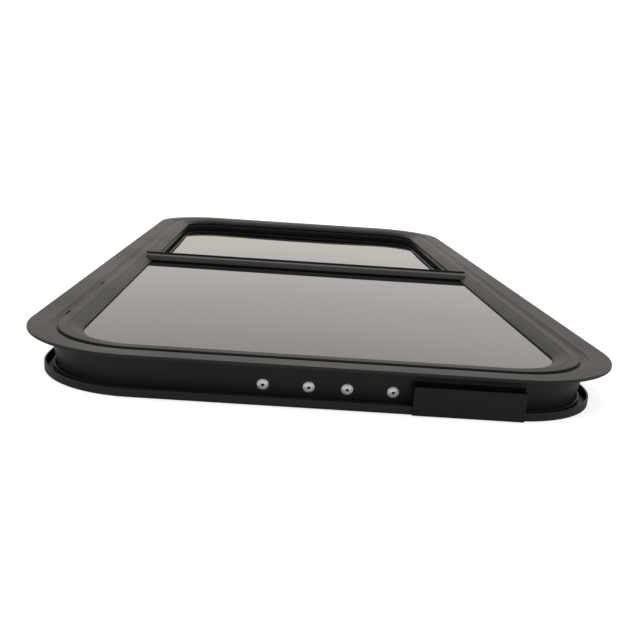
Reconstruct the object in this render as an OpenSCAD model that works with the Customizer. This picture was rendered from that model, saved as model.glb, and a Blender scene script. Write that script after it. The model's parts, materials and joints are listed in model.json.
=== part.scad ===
// Half-slider window for a caravan or camper wall, with rounded corners.
// It lies with its outer face up. Its length runs along Y, z = 0 is the underside of the
// clamp ring, and X = Y = 0 is the middle of the window. A fixed pane fills the near half
// (-Y) and a sliding pane fills the far half (+Y), one track deeper. The -X side is the sill
// when the window is mounted in a wall.
//
// Sections of the extrusions are drawn as [inset, depth]: the distance inwards from the
// flange's outer edge, and the distance below the flange's face.

/* [Window size] */
// Width over the outer flange
flange_w = 413; // [380:1:480]
// Length over the outer flange
flange_l = 794; // [740:1:900]
// Corner radius of the flange's outer edge
corner_r = 82.5; // [76:0.5:95]
// Depth of the frame from the flange's face to its inner end
frame_depth = 30; // [29.5:0.1:34]

/* [Frame extrusion] */
// How far the flange overlaps the wall's skin
flange_overlap = 16.4; // [15.6:0.1:20]
// Thickness of the flange
flange_t = 2; // [1.6:0.1:2.6]
// How far the flange's face falls from its outer edge to the drain recess
flange_fall = 0.7; // [0.3:0.1:0.9]
// Width of the drain recess between the flange and the bead
groove_w = 5.4; // [4.5:0.1:7]
// Depth of the recess at the bead's foot
groove_depth = 2.6; // [2.2:0.1:3.4]
// Depth of the bead's top below the flange's outer edge
bead_drop = 0.7; // [0.3:0.1:0.9]
// Width of the bead's flat top
bead_w = 6.2; // [4.5:0.1:7]
// Width of the slope from the bead down to the pane
slope_w = 10.6; // [9.6:0.1:12]
// Depth of the slope's foot
slope_drop = 4.9; // [4.4:0.1:5.4]
// Thickness of the slope's edge over the pane
lip_t = 0.6; // [0.5:0.1:1.2]
// Thickness of the extrusion's walls and webs
web_t = 1.5; // [1.2:0.1:1.8]
// How far the outer wall leans inwards from the flange to its inner end
wall_lean = 4.5; // [3.5:0.1:4.8]
// Gap between the sash track and the insect screen's track
track_gap = 1.7; // [1.2:0.1:2]
// How far the upper web and the track's lips stop short of the slope's lip
web_setback = 1.5; // [1.2:0.1:3]
// Size of the bevel on the flange's outer edge
edge_bevel = 0.6; // [0.3:0.1:0.9]
// Width of the saw cut where the bent frame and ring meet their own ends
joint_gap = 0.2; // [0.2:0.05:0.5]
// Place of that joint along the near side
joint_x = 4.5; // [-20:0.5:20]

/* [Drain slots] */
// Length of a drain slot
weep_l = 13; // [8:0.5:18]
// Width of a drain slot, at the bead's foot
weep_w = 2.4; // [1.6:0.1:3]
// Distance from the near edge to the first slot
weep_first = 101; // [100:1:140]
// Distance between the slots
weep_pitch = 116; // [90:1:140]

/* [Glass] */
// Thickness of both panes
glass_t = 3; // [2.8:0.1:3.4]
// How deep the fixed pane sits under the slope's lip
glass_bite = 6.8; // [5:0.1:7.2]
// Thickness of the rubber between the fixed pane and the frame
gasket_t = 0.5; // [0.4:0.1:0.8]
// How far that rubber shows past the lip
gasket_show = 0.4; // [0.2:0.1:0.8]
// Length of a setting block
block_l = 40; // [25:1:60]
// Distance from the near corners' bend to the middle of the first blocks
block_setback = 30; // [20:1:60]
// Distance from the mullion's middle to the middle of the second blocks
block_gap = 80; // [55:1:110]
// Gap between the slope's edge and the infill strip beside the sliding pane
infill_gap = 1.6; // [1:0.1:2.2]
// Height of the infill strip's face
infill_h = 2.9; // [2.5:0.1:3.6]

/* [Mullion] */
// Distance of the mullion's middle from the window's middle
mullion_offset = -5; // [-12:0.5:4]
// Width of the mullion
mullion_w = 18; // [17:0.5:26]
// How far the mullion stands above the flange's outer edge
mullion_rise = 0.1; // [0:0.1:1]
// Height of the mullion's front face
nose_h = 4.8; // [4:0.1:5.2]
// Depth of the shadow slot under the front face
nose_slot = 3; // [2:0.1:4]
// Thickness of the mullion's skins
mullion_t = 1.5; // [1.2:0.1:1.8]
// How deep the fixed pane sits in the mullion
mullion_bite = 7; // [6:0.1:7.4]
// Radius of the round seal on the mullion's far edge
bulb_r = 1.6; // [1.2:0.1:1.9]

/* [Sliding pane] */
// Play above and below the sliding pane
sash_play = 0.3; // [0.2:0.05:0.4]
// Thickness of the run channel's back and lower leg
liner_t = 0.9; // [0.7:0.05:1.1]
// Height of the brush in the run channel's upper leg
brush_h = 2.3; // [2:0.1:3]
// Play between the sliding pane's edge and the run channel
edge_play = 0.75; // [0.5:0.05:1]
// Width of the stile on the sliding pane's near edge
stile_w = 20; // [19:0.5:24]
// Wall of the stile
stile_t = 1.3; // [1.2:0.1:1.5]
// Thickness of the rubber that holds the pane in the stile
stile_rubber = 0.5; // [0.4:0.1:0.6]
// Distance from the near corners' bend to the face of a travel stop
stop_setback = 4.2; // [2:0.1:40]
// Length of a travel stop
stop_l = 8; // [6:0.5:12]

/* [Pull and latch] */
// Length of the finger pull
pull_l = 90; // [60:1:120]
// How far the finger pull stands out of the stile
pull_h = 6; // [5:0.1:6.6]
// Length of the latch housing
latch_l = 46; // [42:1:60]
// Width of the latch housing
latch_w = 16; // [15:0.5:18]
// Width of the bolt
bolt_w = 7; // [6.5:0.5:7.5]
// Thickness of the bolt
bolt_t = 2.6; // [2:0.1:2.8]
// Travel of the bolt
bolt_travel = 6; // [4:0.5:8]
// Length of the keeper block
keeper_l = 18; // [18:0.5:21]
// Running clearance of the bolt
bolt_play = 0.3; // [0.2:0.05:0.4]
// Length of the bolt's thumb piece
thumb_l = 10; // [8:0.5:12]

/* [Insect screen] */
// Width of the screen's rails
screen_rail_w = 9.5; // [9:0.1:12]
// Play above and below the screen in its track
screen_play = 0.3; // [0.2:0.05:0.5]
// Gap between the screen's edge and the frame
screen_gap = 0.8; // [0.6:0.1:0.9]
// Diameter of the cord that holds the mesh
spline_d = 2.4; // [2:0.1:2.8]
// Thickness of the mesh
mesh_t = 0.3; // [0.25:0.05:0.5]
// Place of the screen's near edge, from the window's middle
screen_start = 5.5; // [5.5:0.5:14]
// Distance of the screen's finger tabs from the middle
tab_x = 70; // [50:1:100]
// Length of a finger tab
tab_l = 16; // [12:1:24]

/* [Clamp ring] */
// Thickness of the ring's web
ring_t = 1.6; // [1.4:0.1:2]
// Distance from the flange's outer edge to the ring's outer edge
ring_inset = 11.5; // [10:0.1:12]
// Height of the ring's outer rim
rim_h = 5.8; // [4.5:0.1:7]
// Thickness of the rim and the inner leg
rim_t = 1.4; // [1:0.1:1.6]
// Height of the ring's inner leg
leg_h = 7; // [6:0.1:8]
// Distance between the screws along the long sides
screw_pitch = 148; // [120:1:150]
// Distance from the middle to the screws of the short sides
end_screw_x = 96; // [80:1:110]
// Diameter of the clamp screws
screw_d = 3.2; // [3:0.1:3.6]
// Length of the clamp screws
screw_l = 12; // [9:0.5:16]

/* [Rim cover] */
// Length of the folded cover on the ring's rim
cover_l = 72.5; // [50:0.5:80]
// Distance from the window's middle to the cover's left end
cover_x = 59; // [50:0.5:62]
// Height of the cover
cover_h = 19.5; // [16:0.1:21]
// Thickness of the cover's sheet
cover_t = 1.6; // [1.2:0.1:1.8]

/* [Blind rivets] */
// Diameter of a rivet's head
rivet_head_d = 7.9; // [6:0.1:9]
// Height of a rivet's head
rivet_head_h = 2; // [1.5:0.1:2.4]
// Diameter of a rivet's shank
rivet_d = 4; // [3.2:0.1:4.8]
// Distance from the joint to the inner rivets
rivet_near = 12.5; // [10:0.5:18]
// Distance from the joint to the outer rivets
rivet_far = 42.4; // [30:0.1:48]
// Depth of the rivets below the flange's face
rivet_depth = 19.4; // [15:0.1:21]

/* [Hidden] */
$fn = 48;

black_metal = [0.16, 0.16, 0.16];
black_rubber = [0.06, 0.06, 0.06];
black_plastic = [0.1, 0.1, 0.1];
bare_metal = [0.78, 0.78, 0.78];
tinted = [0.3, 0.3, 0.29, 0.6];

eps = 0.01;
over = 1;                   // how far a cutting tool runs past what it cuts
merge = 0.2;                // how far joined solids run into each other
seat = 0.1;                 // gap left round a fastener or between curved faces that seat
top_z = ring_t + frame_depth;
half_w = flange_w / 2;
half_l = flange_l / 2;
leg_l = half_l - corner_r;  // straight part of a long side, from its middle
side_w = flange_w - 2 * corner_r;

// Insets of the frame's section
wall_step = 0.4;                    // the wall's foot lies this much outside the groove's edge
spine_step = 0.5;                   // and the wall behind the tracks inside the slope's crease
recess_lead = 1;                    // the recess starts this much outside the overlap's edge
base_setback = 4;                   // the inner flange stops short of the lip
lip_flat = 2.4;                     // flat under the lip that the rubber bears on
bevel_in = 0.5;
small_bevel = 0.3;
foot_fillet = 1;                    // bevel where the wall meets the flange
recess_step = 0.5;                  // small step down from the flange into the recess
wall_in = flange_overlap - wall_step;
recess_in = flange_overlap - recess_lead;
bead_in = recess_in + groove_w;
crease_in = bead_in + bead_w + edge_bevel;
lip_in = crease_in + slope_w;
spine_in = crease_in + spine_step;
track_in = lip_in - web_setback;    // inner ends of the webs
base_in = lip_in - base_setback;

// Depths of the frame's section
lip_d = slope_drop + lip_t;
glass_d = lip_d + gasket_t;
web_d = glass_d + glass_t + gasket_t;
track_d = web_d + web_t;
sash_d = track_d + brush_h + sash_play;
lower_lip_d = sash_d + glass_t + sash_play + liner_t;
screen_lip_d = lower_lip_d + web_t + track_gap;
screen_d = screen_lip_d + web_t;
base_d = frame_depth - web_t;
groove_floor_d = groove_depth + web_t;
roof_d = bead_drop + web_t + 0.2;           // underside of the wall under the bead
root_d = bead_drop + lip_t + web_t;         // underside of the slope at its root

// Outer wall: its inset at a depth below the flange
function wall_at(depth) = wall_in + wall_lean * (depth - flange_t) / (frame_depth - flange_t);
wall_angle = atan(wall_lean / (frame_depth - flange_t));

// Screw chase at the frame's inner end
chase_w = screw_d + seat;
chase_in = spine_in - web_t - chase_w / 2;
chase_h = 6;
chase_rib = 1;

glass_in = lip_in - glass_bite;             // fixed pane's edge
sash_in = spine_in + seat + liner_t + seat + edge_play;   // sliding pane's edge
liner_show = 0.8;                           // the run channel shows this much past the webs
gasket_back = 0.2;                          // play behind the fixed pane's edge
gasket_wall = 1;
block_drop = 0.6;                           // setting blocks start this much above the pane
infill_d = lip_d + infill_gap;              // top of the infill strip
infill_end = 0.5;                           // gap between its ends and the mullion

// Mullion, in Y
nose_y = mullion_offset - mullion_w / 2;
rear_y = mullion_offset + mullion_w / 2;
channel_y = nose_y + nose_slot;             // front of the channel that holds the fixed pane
pane_end_play = 1;
glass_end_y = channel_y + mullion_bite;
pane_stop_y = glass_end_y + pane_end_play;
mullion_lip_t = 0.9;
mullion_in_d = web_d + mullion_lip_t;       // underside of the mullion's lower lip
mullion_bevel = 0.8;                        // on its front and rear edges
mullion_roof = 0.6;                         // the roof is this much thicker than the skins
mullion_floor = 1.2;
nose_skin = 1.3;                            // skin above the shadow slot
hook_gap = 0.3;
hook_t = 1.5;
hook_back = 1;                              // from the front face to the hook
end_play = 0.3;                             // between the mullion's ends and the frame's lip
strip_end = 3;                              // the glazing strips end short of the pane's stop
strip_show = 0.4;                           // and show this much past the channel

// Groove in the mullion's top for the round seal
seal_groove_w = 2.4;
seal_groove_h = 1;
seal_wall = 1.2;
seal_fit = 0.1;
seal_end_gap = 2;
seal_bury = 0.2;
seal_flat = 0.2;                            // the seal's rear is cut flat this far from its middle
pile_w = 3;
pile_setback = 6;
pile_end_gap = 1;

// Sliding pane's stile, in Y
stile_setback = 1;                          // from the mullion's front face
stile_hollow = 5;                           // room in the stile in front of the pane's edge
stile_end_gap = 0.6;
hook_w = stile_t - 0.1;                     // stile's hook, behind the mullion's
stile_lead = 0.6;                           // the rubber's grip starts before the pane's edge
stile_y = nose_y - stile_setback;
stile_end_y = stile_y + stile_w;
stile_top_d = sash_d - stile_rubber - stile_t;
stile_low_d = sash_d + glass_t + stile_rubber;
stile_base_d = stile_low_d + stile_t;
sash_edge_y = stile_y + stile_t + stile_hollow;
stile_in = lip_in + stile_end_gap;          // stile's ends, clear of the frame's lips
rubber_back = 0.2;
rubber_show = 0.3;
glide_gap = 1.2;
glide_play = 0.1;
glide_end_play = 0.4;
glide_in = spine_in + liner_t + glide_gap;
stop_y = -leg_l + stop_setback;             // face that the sliding pane's stile meets
sash_travel = stile_y - sash_play - stop_y;
echo("The sliding pane travels", sash_travel);

// Grip under the stile
pull_margin = 3;                            // from the stile's edges
pull_scoop_r = 8.5;
pull_scoop_drop = 12;                       // the scoop's axis lies this far below the stile
pull_end_wall = 5;                          // left solid at each end of the scoop
pull_toe = 1.6;                             // thickness of its near edge
pull_lead = 2;
pull_lead_h = 0.4;
pull_ridge = 2.5;                           // flat of the ridge that the fingers catch
pull_heel = 4;                              // slope behind the ridge
pull_heel_h = 3.6;

// Latch at the sill end of the stile
latch_setback = 3;                          // from the tracks' inner ends
latch_clear = 1.8;                          // from the frame's inner end
keeper_roof = 1.3;                          // keeper left above the bolt
bolt_end_wall = 6;
bolt_show = 1;                              // the drawn bolt stands out of the housing
thumb_setback = 10;
thumb_w = 5.4;
thumb_rise = 1.4;
latch_bevel = 0.8;
latch_y = stile_y + stile_w / 2;
latch_in = track_in + latch_setback;
latch_x = -half_w + latch_in;
bolt_d = screen_d + keeper_roof;
latch_h = frame_depth - stile_base_d - latch_clear;
latch_screw_t = 2.8;
latch_head_d = 5.2;
latch_head_h = 1.8;
latch_screw_edge = 3.6;                     // from the housing's edges
latch_screw_grip = 0.9;                     // how far the screws enter the stile

// Keeper in the sill's inner track, and its screws through the inner flange
keeper_play = 0.4;
keeper_in = spine_in + keeper_play;
keeper_screw_edge = 3;
keeper_screw_t = 2.2;
keeper_head_d = 4.2;
keeper_head_h = 1;
keeper_screw_l = 5.5;
keeper_screw_in = (spine_in + base_in) / 2;

// Insect screen
screen_in = spine_in + screen_gap;
screen_t = base_d - screen_d - 2 * screen_play;
screen_top_d = screen_d + screen_play;
screen_base_d = screen_top_d + screen_t;
screen_rail_in = screen_in + screen_rail_w;
rail_y = screen_start;
rail_end_y = rail_y + screen_rail_w;
spline_place = 0.6;                         // share of the rail's width, from its outer edge
spline_in = screen_in + screen_rail_w * spline_place;
spline_y = rail_y + screen_rail_w * (1 - spline_place);
spline_groove = spline_d / 2 + seat;        // half the groove's width
mesh_lift = 0.2;
tab_margin = 0.6;

// Clamp ring
leg_gap = 0.35;                             // between the inner leg and the frame's wall
leg_in = wall_at(frame_depth - leg_h) - leg_gap - rim_t;
rim_top_d = top_z - rim_h;
screw_rows = 2;
sink_d = 2 * screw_d;                       // clamp screws' heads
head_lift = 0.15;                           // how far they lie inside the ring's face
screw_tip = 1.5;
screw_tip_d = 0.6;
slot_l = 3.2;
slot_w = 0.7;

// Rim cover
cover_gap = 0.3;                            // between the cover and the rim, and the inner leg
cover_lift = 0.2;                           // its lower edge above the ring's underside
cover_tongue_w = 3;
cover_tongue_h = 3.6;
cover_tongue_t = 1;

// Rivets on the leaning wall
rivet_xs = [joint_x - rivet_far, joint_x - rivet_near, joint_x + rivet_near, joint_x + rivet_far];
rivet_grip = web_t + 1.6;                   // wall and plate
rivet_tail = 4;
rivet_tail_w = 1.4;
mandrel_share = 0.52;                       // of the shank's diameter
mandrel_h = 1.2;
splice_end = 13;                            // plate past the outer rivets
splice_l = 2 * (rivet_far + splice_end);
splice_w = 11;
splice_up = 2.2;
splice_t = rivet_grip - web_t;

// Screws of the mullion's ends
mullion_screw_d = web_d - 2.2;              // their depth
mullion_screw_y = rear_y - 3.5;
mullion_screw_grip = 20;
mullion_screw_l = lip_in - wall_at(mullion_screw_d) + mullion_screw_grip;
mullion_screw_t = 3.4;                      // diameter of the shank
mullion_head_d = 6.6;
mullion_head_h = 1.6;
head_sink = 0.6;                            // how far a head lies below the leaning wall's face

// ---------------------------------------------------------------- drawing helpers

// A section drawn as [inset, depth] points
module section(points) {
    polygon([for (p = points) [p[0], top_z - p[1]]]);
}

// Sweeps a section along X at the near side, between two places in X
module along_near(x0, x1) {
    translate([x0, -half_l, 0]) rotate([90, 0, 90]) linear_extrude(x1 - x0) children();
}

// Sweeps a section along Y at the left side, between two places in Y
module along_left(y0, y1) {
    translate([-half_w, y1, 0]) rotate([90, 0, 0]) linear_extrude(y1 - y0) children();
}

// The same on both long sides
module along_sides(y0, y1) {
    along_left(y0, y1) children();
    mirror([1, 0, 0]) along_left(y0, y1) children();
}

// Sweeps a section round the near left corner
module near_corner() {
    translate([-half_w + corner_r, -half_l + corner_r, 0]) rotate([0, 0, 180])
        rotate_extrude(angle = 90, $fn = 96) translate([corner_r, 0]) mirror([1, 0]) children();
}

// Sweeps a section round the near end and up both sides to a place in Y
module near_loop(y_end) {
    along_near(-side_w / 2, side_w / 2) children();
    near_corner() children();
    mirror([1, 0, 0]) near_corner() children();
    along_sides(-leg_l, y_end) children();
}

// The same round the far end, down both sides to a place in Y
module far_loop(y_end) {
    rotate([0, 0, 180]) near_loop(-y_end) children();
}

// Sweeps a section all the way round
module whole_loop() {
    near_loop(0) children();
    far_loop(0) children();
}

// A bar along X with a section drawn as [y, depth] points
module cross_bar(x0, x1, points) {
    translate([x0, 0, 0]) rotate([90, 0, 90]) linear_extrude(x1 - x0) section(points);
}

// A box from its depth range, drawn in X and Y
module slab(x0, x1, y0, y1, d0, d1) {
    translate([x0, y0, top_z - d1]) cube([x1 - x0, y1 - y0, d1 - d0]);
}

// Outline of a pane with rounded near corners, that ends straight at a place in Y
module pane(inset, y_end) {
    r = corner_r - inset;
    w = flange_w - 2 * inset;
    y_turn = -half_l + corner_r;
    translate([-w / 2, y_turn]) square([w, y_end - y_turn]);
    translate([-w / 2 + r, y_turn - r]) square([w - 2 * r, r + eps]);
    for (side = [-1, 1]) translate([side * (w / 2 - r), y_turn]) circle(r, $fn = 96);
}

// A plate with a pane's outline at a depth
module pane_plate(inset, y_end, depth, t) {
    translate([0, 0, top_z - depth - t]) linear_extrude(t) pane(inset, y_end);
}

// The saw cut at the near side's joint
module joint_cut() {
    translate([joint_x - joint_gap / 2, -half_l - over, -over])
        cube([joint_gap, lip_in + 2 * over, top_z + 2 * over]);
}

// Runs children at every clamp screw, with +Z along the screw into the frame
module at_clamp_screws() {
    for (side = [-1, 1], i = [-screw_rows : screw_rows])
        translate([side * (half_w - chase_in), i * screw_pitch, 0]) children();
    for (side = [-1, 1], x = [-end_screw_x, end_screw_x])
        translate([x, side * (half_l - chase_in), 0]) children();
}

// Runs children at every rivet, with +Z out of the leaning wall
module at_rivets() {
    for (x = rivet_xs)
        translate([x, -half_l + wall_at(rivet_depth), top_z - rivet_depth])
            rotate([90 + wall_angle, 0, 0]) children();
}

// Runs children at the screws of the mullion's ends, with +Z out of the frame
module at_mullion_screws() {
    for (side = [-1, 1])
        translate([side * (half_w - wall_at(mullion_screw_d)), mullion_screw_y,
                   top_z - mullion_screw_d])
            rotate([0, side * 90, 0]) children();
}

// Runs children at the keeper's screws, with +Z up from the inner flange's underside
module at_keeper_screws() {
    for (side = [-1, 1])
        translate([-half_w + keeper_screw_in, latch_y + side * (keeper_l / 2 - keeper_screw_edge),
                   ring_t])
            children();
}

// Runs children at the latch housing's screws, with +Z up into the stile
module at_latch_screws() {
    for (side = [-1, 1])
        translate([latch_x + latch_l - latch_screw_edge,
                   latch_y + side * (latch_w / 2 - latch_screw_edge), top_z - stile_base_d])
            children();
}

// ---------------------------------------------------------------- frame

// Outline of the frame's section, from the flange's edge round to the drain recess
frame_points = [
    [edge_bevel, 0], [0, edge_bevel], [0, flange_t], [wall_in - foot_fillet, flange_t],
    [wall_at(flange_t + foot_fillet), flange_t + foot_fillet], [wall_at(frame_depth), frame_depth],
    [base_in - bevel_in, frame_depth], [base_in, frame_depth - bevel_in],
    [base_in, base_d], [spine_in, base_d], [spine_in, screen_d], [track_in, screen_d],
    [track_in, screen_lip_d], [spine_in, screen_lip_d], [spine_in, lower_lip_d + web_t],
    [track_in, lower_lip_d + web_t], [track_in, lower_lip_d], [spine_in, lower_lip_d],
    [spine_in, track_d], [track_in, track_d], [track_in, web_d], [spine_in, web_d],
    [spine_in, root_d], [lip_in - lip_flat, lip_d], [lip_in, lip_d], [lip_in, slope_drop],
    [crease_in, bead_drop], [bead_in + edge_bevel, bead_drop],
    [bead_in, bead_drop + edge_bevel], [bead_in, groove_depth],
    [recess_in + small_bevel, flange_fall + recess_step],
    [recess_in, flange_fall + small_bevel], [recess_in - small_bevel, flange_fall]
];

// Hollow chamber between the outer wall and the tracks, with the screw chase at its foot
chamber_in = spine_in - web_t;
chase_end = chamber_in - chase_w;
chamber_points = [
    [wall_at(groove_floor_d) + web_t, groove_floor_d], [bead_in + web_t, groove_floor_d],
    [bead_in + web_t, roof_d], [chamber_in, roof_d], [chamber_in, base_d], [chase_end, base_d],
    [chase_end, base_d - chase_h], [chase_end - chase_rib, base_d - chase_h],
    [chase_end - chase_rib, base_d], [wall_at(base_d) + web_t, base_d]
];

module outer_frame() {
    color(black_metal) difference() {
        whole_loop() difference() {
            section(frame_points);
            section(chamber_points);
        }
        joint_cut();
        for (i = [0 : 1])
            slab(-half_w + bead_in - weep_w, -half_w + bead_in,
                 -half_l + weep_first + i * weep_pitch - weep_l / 2,
                 -half_l + weep_first + i * weep_pitch + weep_l / 2, flange_fall, groove_floor_d + eps);
        at_clamp_screws() cylinder(d = screw_d + 2 * seat, h = ring_t + web_t + over);
        at_rivets() translate([0, 0, -web_t * 2]) cylinder(d = rivet_d + 2 * seat, h = web_t * 3);
        at_mullion_screws() {
            translate([0, 0, wall_at(mullion_screw_d) - lip_in])
                cylinder(d = mullion_screw_t + 2 * seat, h = lip_in);
            translate([0, 0, -head_sink - mullion_head_h - seat])
                cylinder(d1 = mullion_screw_t, d2 = mullion_head_d + 2 * seat, h = mullion_head_h);
            translate([0, 0, -head_sink - seat - eps])
                cylinder(d = mullion_head_d + 2 * seat, h = head_sink + mullion_head_h + over);
        }
        at_keeper_screws() {
            translate([0, 0, -over]) cylinder(d = keeper_screw_t + 2 * seat, h = web_t + 2 * over);
            translate([0, 0, -eps])
                cylinder(d1 = keeper_head_d + 4 * seat, d2 = keeper_screw_t + 2 * seat,
                         h = keeper_head_h);
        }
    }
}

// Plate behind the outer wall that bridges the joint
module frame_splice() {
    color(bare_metal) difference() {
        translate([joint_x - splice_l / 2, -half_l + wall_at(rivet_depth), top_z - rivet_depth])
            rotate([wall_angle, 0, 0])
                translate([0, web_t, splice_up - splice_w / 2]) cube([splice_l, splice_t, splice_w]);
        at_rivets() translate([0, 0, -rivet_grip - rivet_tail])
            cylinder(d = rivet_d + 2 * seat, h = rivet_grip + rivet_tail + over);
    }
}

// Dome-head blind rivets, with the hollow of the pulled mandrel in each head
module splice_rivets() {
    dome_r = (pow(rivet_head_d / 2, 2) + pow(rivet_head_h, 2)) / (2 * rivet_head_h);
    color(bare_metal) at_rivets() difference() {
        union() {
            intersection() {
                translate([0, 0, rivet_head_h - dome_r]) sphere(dome_r);
                cylinder(d = rivet_head_d, h = rivet_head_h);
            }
            translate([0, 0, -rivet_grip - rivet_tail / 2])
                cylinder(d = rivet_d, h = rivet_grip + rivet_tail / 2 + merge);
            translate([0, 0, -rivet_grip - rivet_tail])
                cylinder(d = rivet_d + rivet_tail_w, h = rivet_tail - merge);
        }
        translate([0, 0, rivet_head_h - mandrel_h])
            cylinder(d = rivet_d * mandrel_share, h = mandrel_h + over);
    }
}

// ---------------------------------------------------------------- fixed pane

module fixed_glass() {
    color(tinted) pane_plate(glass_in, glass_end_y, glass_d, glass_t);
}

// Channel of rubber round the fixed pane's edge
module fixed_glass_gasket() {
    back = glass_in - gasket_back;
    color(black_rubber) near_loop(pane_stop_y) section([
        [back - gasket_wall, lip_d], [lip_in + gasket_show, lip_d],
        [lip_in + gasket_show, glass_d], [back, glass_d], [back, glass_d + glass_t],
        [track_in, glass_d + glass_t], [track_in, web_d], [back - gasket_wall, web_d]
    ]);
}

// Packing blocks between the pane's rubber and the frame, on the sill and the head
module setting_blocks() {
    block_in = glass_in - gasket_back - gasket_wall - seat;
    color(black_plastic) for (y = [-leg_l + block_setback, mullion_offset - block_gap])
        along_sides(y - block_l / 2, y + block_l / 2) section([
            [spine_in, glass_d - block_drop], [block_in, glass_d - block_drop],
            [block_in, web_d], [spine_in, web_d]
        ]);
}

// Strip that fills the empty groove beside the sliding pane, its face below the slope's edge
module glazing_infill() {
    color(black_plastic) far_loop(rear_y + infill_end) section([
        [spine_in + seat, infill_d], [lip_in - small_bevel, infill_d],
        [lip_in, infill_d + small_bevel], [lip_in, infill_d + infill_h],
        [track_in + seat, infill_d + infill_h], [track_in + seat, web_d], [spine_in + seat, web_d]
    ]);
}

// ---------------------------------------------------------------- mullion

// Section of the mullion: front face over the fixed pane, channel for the pane's edge, and
// the hook below that the sliding pane's stile meets when the window is shut
groove_end_y = rear_y - seal_wall;
groove_y = groove_end_y - seal_groove_w;
mullion_points = [
    [nose_y + mullion_bevel, -mullion_rise], [nose_y, mullion_bevel - mullion_rise],
    [nose_y, nose_h - mullion_rise], [channel_y, nose_h - mullion_rise], [channel_y, lip_d],
    [pane_stop_y, lip_d], [pane_stop_y, web_d], [nose_y - hook_back, web_d],
    [nose_y - hook_back, mullion_in_d], [nose_y + hook_back, mullion_in_d],
    [nose_y + hook_back, stile_top_d - hook_gap],
    [nose_y + hook_back + hook_t, stile_top_d - hook_gap],
    [nose_y + hook_back + hook_t, mullion_in_d], [rear_y, mullion_in_d],
    [rear_y, mullion_bevel - mullion_rise],
    [rear_y - mullion_bevel, -mullion_rise], [groove_end_y, -mullion_rise],
    [groove_end_y, seal_groove_h - mullion_rise], [groove_y, seal_groove_h - mullion_rise],
    [groove_y, -mullion_rise]
];

// Hollow of the mullion above the pane's channel
hollow_y = nose_y + mullion_t;
hollow_end_y = rear_y - mullion_t;
hollow_d = mullion_t - mullion_rise + mullion_roof;
hollow_step_d = nose_h - mullion_rise - nose_skin;
mullion_hollow = [
    [hollow_y, hollow_d], [hollow_end_y, hollow_d], [hollow_end_y, lip_d - mullion_floor],
    [hollow_y + nose_slot, lip_d - mullion_floor], [hollow_y + nose_slot, hollow_step_d],
    [hollow_y, hollow_step_d]
];

// What the frame's bead, slope and lip cut from the mullion's ends
mullion_end_cut = [
    [0, -top_z], [crease_in, -top_z], [crease_in, bead_drop], [lip_in, slope_drop], [lip_in, lip_d],
    [lip_in + end_play, lip_d + seat], [lip_in + end_play, top_z], [0, top_z]
];

module mullion() {
    color(black_metal) difference() {
        cross_bar(-half_w + crease_in - over, half_w - crease_in + over, mullion_points);
        cross_bar(-half_w, half_w, mullion_hollow);
        along_sides(nose_y - hook_back - over, rear_y + over) section(mullion_end_cut);
        at_mullion_screws() translate([0, 0, -mullion_screw_l - over])
            cylinder(d = mullion_screw_t + 2 * seat, h = mullion_screw_l + 2 * over);
    }
}

// Rubber between the mullion's channel and the fixed pane, above and below it
module mullion_glazing_strip() {
    x_end = half_w - lip_in - gasket_show - seat;
    low_end = half_w - track_in - seat;
    color(black_rubber) {
        slab(-x_end, x_end, channel_y - strip_show, pane_stop_y - strip_end, lip_d, glass_d);
        slab(-low_end, low_end, nose_y - hook_back, pane_stop_y - strip_end,
             glass_d + glass_t, web_d);
    }
}

// Round rubber seal pressed into the groove on the mullion's far edge
module mullion_bulb_seal() {
    x_end = half_w - crease_in - seal_end_gap;
    y_mid = (groove_y + groove_end_y) / 2;
    stem = seal_groove_w / 2 - seal_fit;
    color(black_rubber) {
        slab(-x_end, x_end, y_mid - stem, y_mid + stem, -mullion_rise - 2 * seal_bury,
             seal_groove_h - mullion_rise);
        translate([-x_end, y_mid, top_z + mullion_rise + seal_bury]) rotate([0, 90, 0])
            difference() {
                cylinder(r = bulb_r, h = 2 * x_end);
                translate([seal_flat, -2 * bulb_r, -over])
                    cube([2 * bulb_r, 4 * bulb_r, 2 * (x_end + over)]);
            }
    }
}

// Brush strip under the mullion that rubs on the stile
module mullion_pile() {
    x_end = half_w - stile_in - pile_end_gap;
    y0 = nose_y + pile_setback;
    color(black_rubber) slab(-x_end, x_end, y0, y0 + pile_w, mullion_in_d, stile_top_d - sash_play);
}

// Screws through the frame's wall into the mullion's ends
module mullion_screws() {
    shank_l = mullion_screw_l - mullion_head_h;
    color(bare_metal) at_mullion_screws() translate([0, 0, -head_sink]) {
        translate([0, 0, -mullion_head_h])
            cylinder(d1 = mullion_screw_t, d2 = mullion_head_d, h = mullion_head_h);
        translate([0, 0, -mullion_head_h - shank_l])
            cylinder(d = mullion_screw_t, h = shank_l + merge);
    }
}

// ---------------------------------------------------------------- tracks and keeper

// Lined channel that the sliding pane's edge runs in: both long sides and the far end
module run_channel() {
    back = spine_in + seat;
    lip = track_in + liner_show;
    color(black_rubber) far_loop(-leg_l) section([
        [back, track_d], [lip, track_d], [lip, track_d + brush_h], [back + liner_t, track_d + brush_h],
        [back + liner_t, lower_lip_d - liner_t], [lip, lower_lip_d - liner_t],
        [lip, lower_lip_d], [back, lower_lip_d]
    ]);
}

// Blocks in the run channel that end the sliding pane's travel
module travel_stops() {
    color(black_plastic) along_sides(stop_y - stop_l, stop_y) section([
        [glide_in, sash_d], [track_in, sash_d], [track_in, sash_d + glass_t],
        [glide_in, sash_d + glass_t]
    ]);
}

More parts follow.
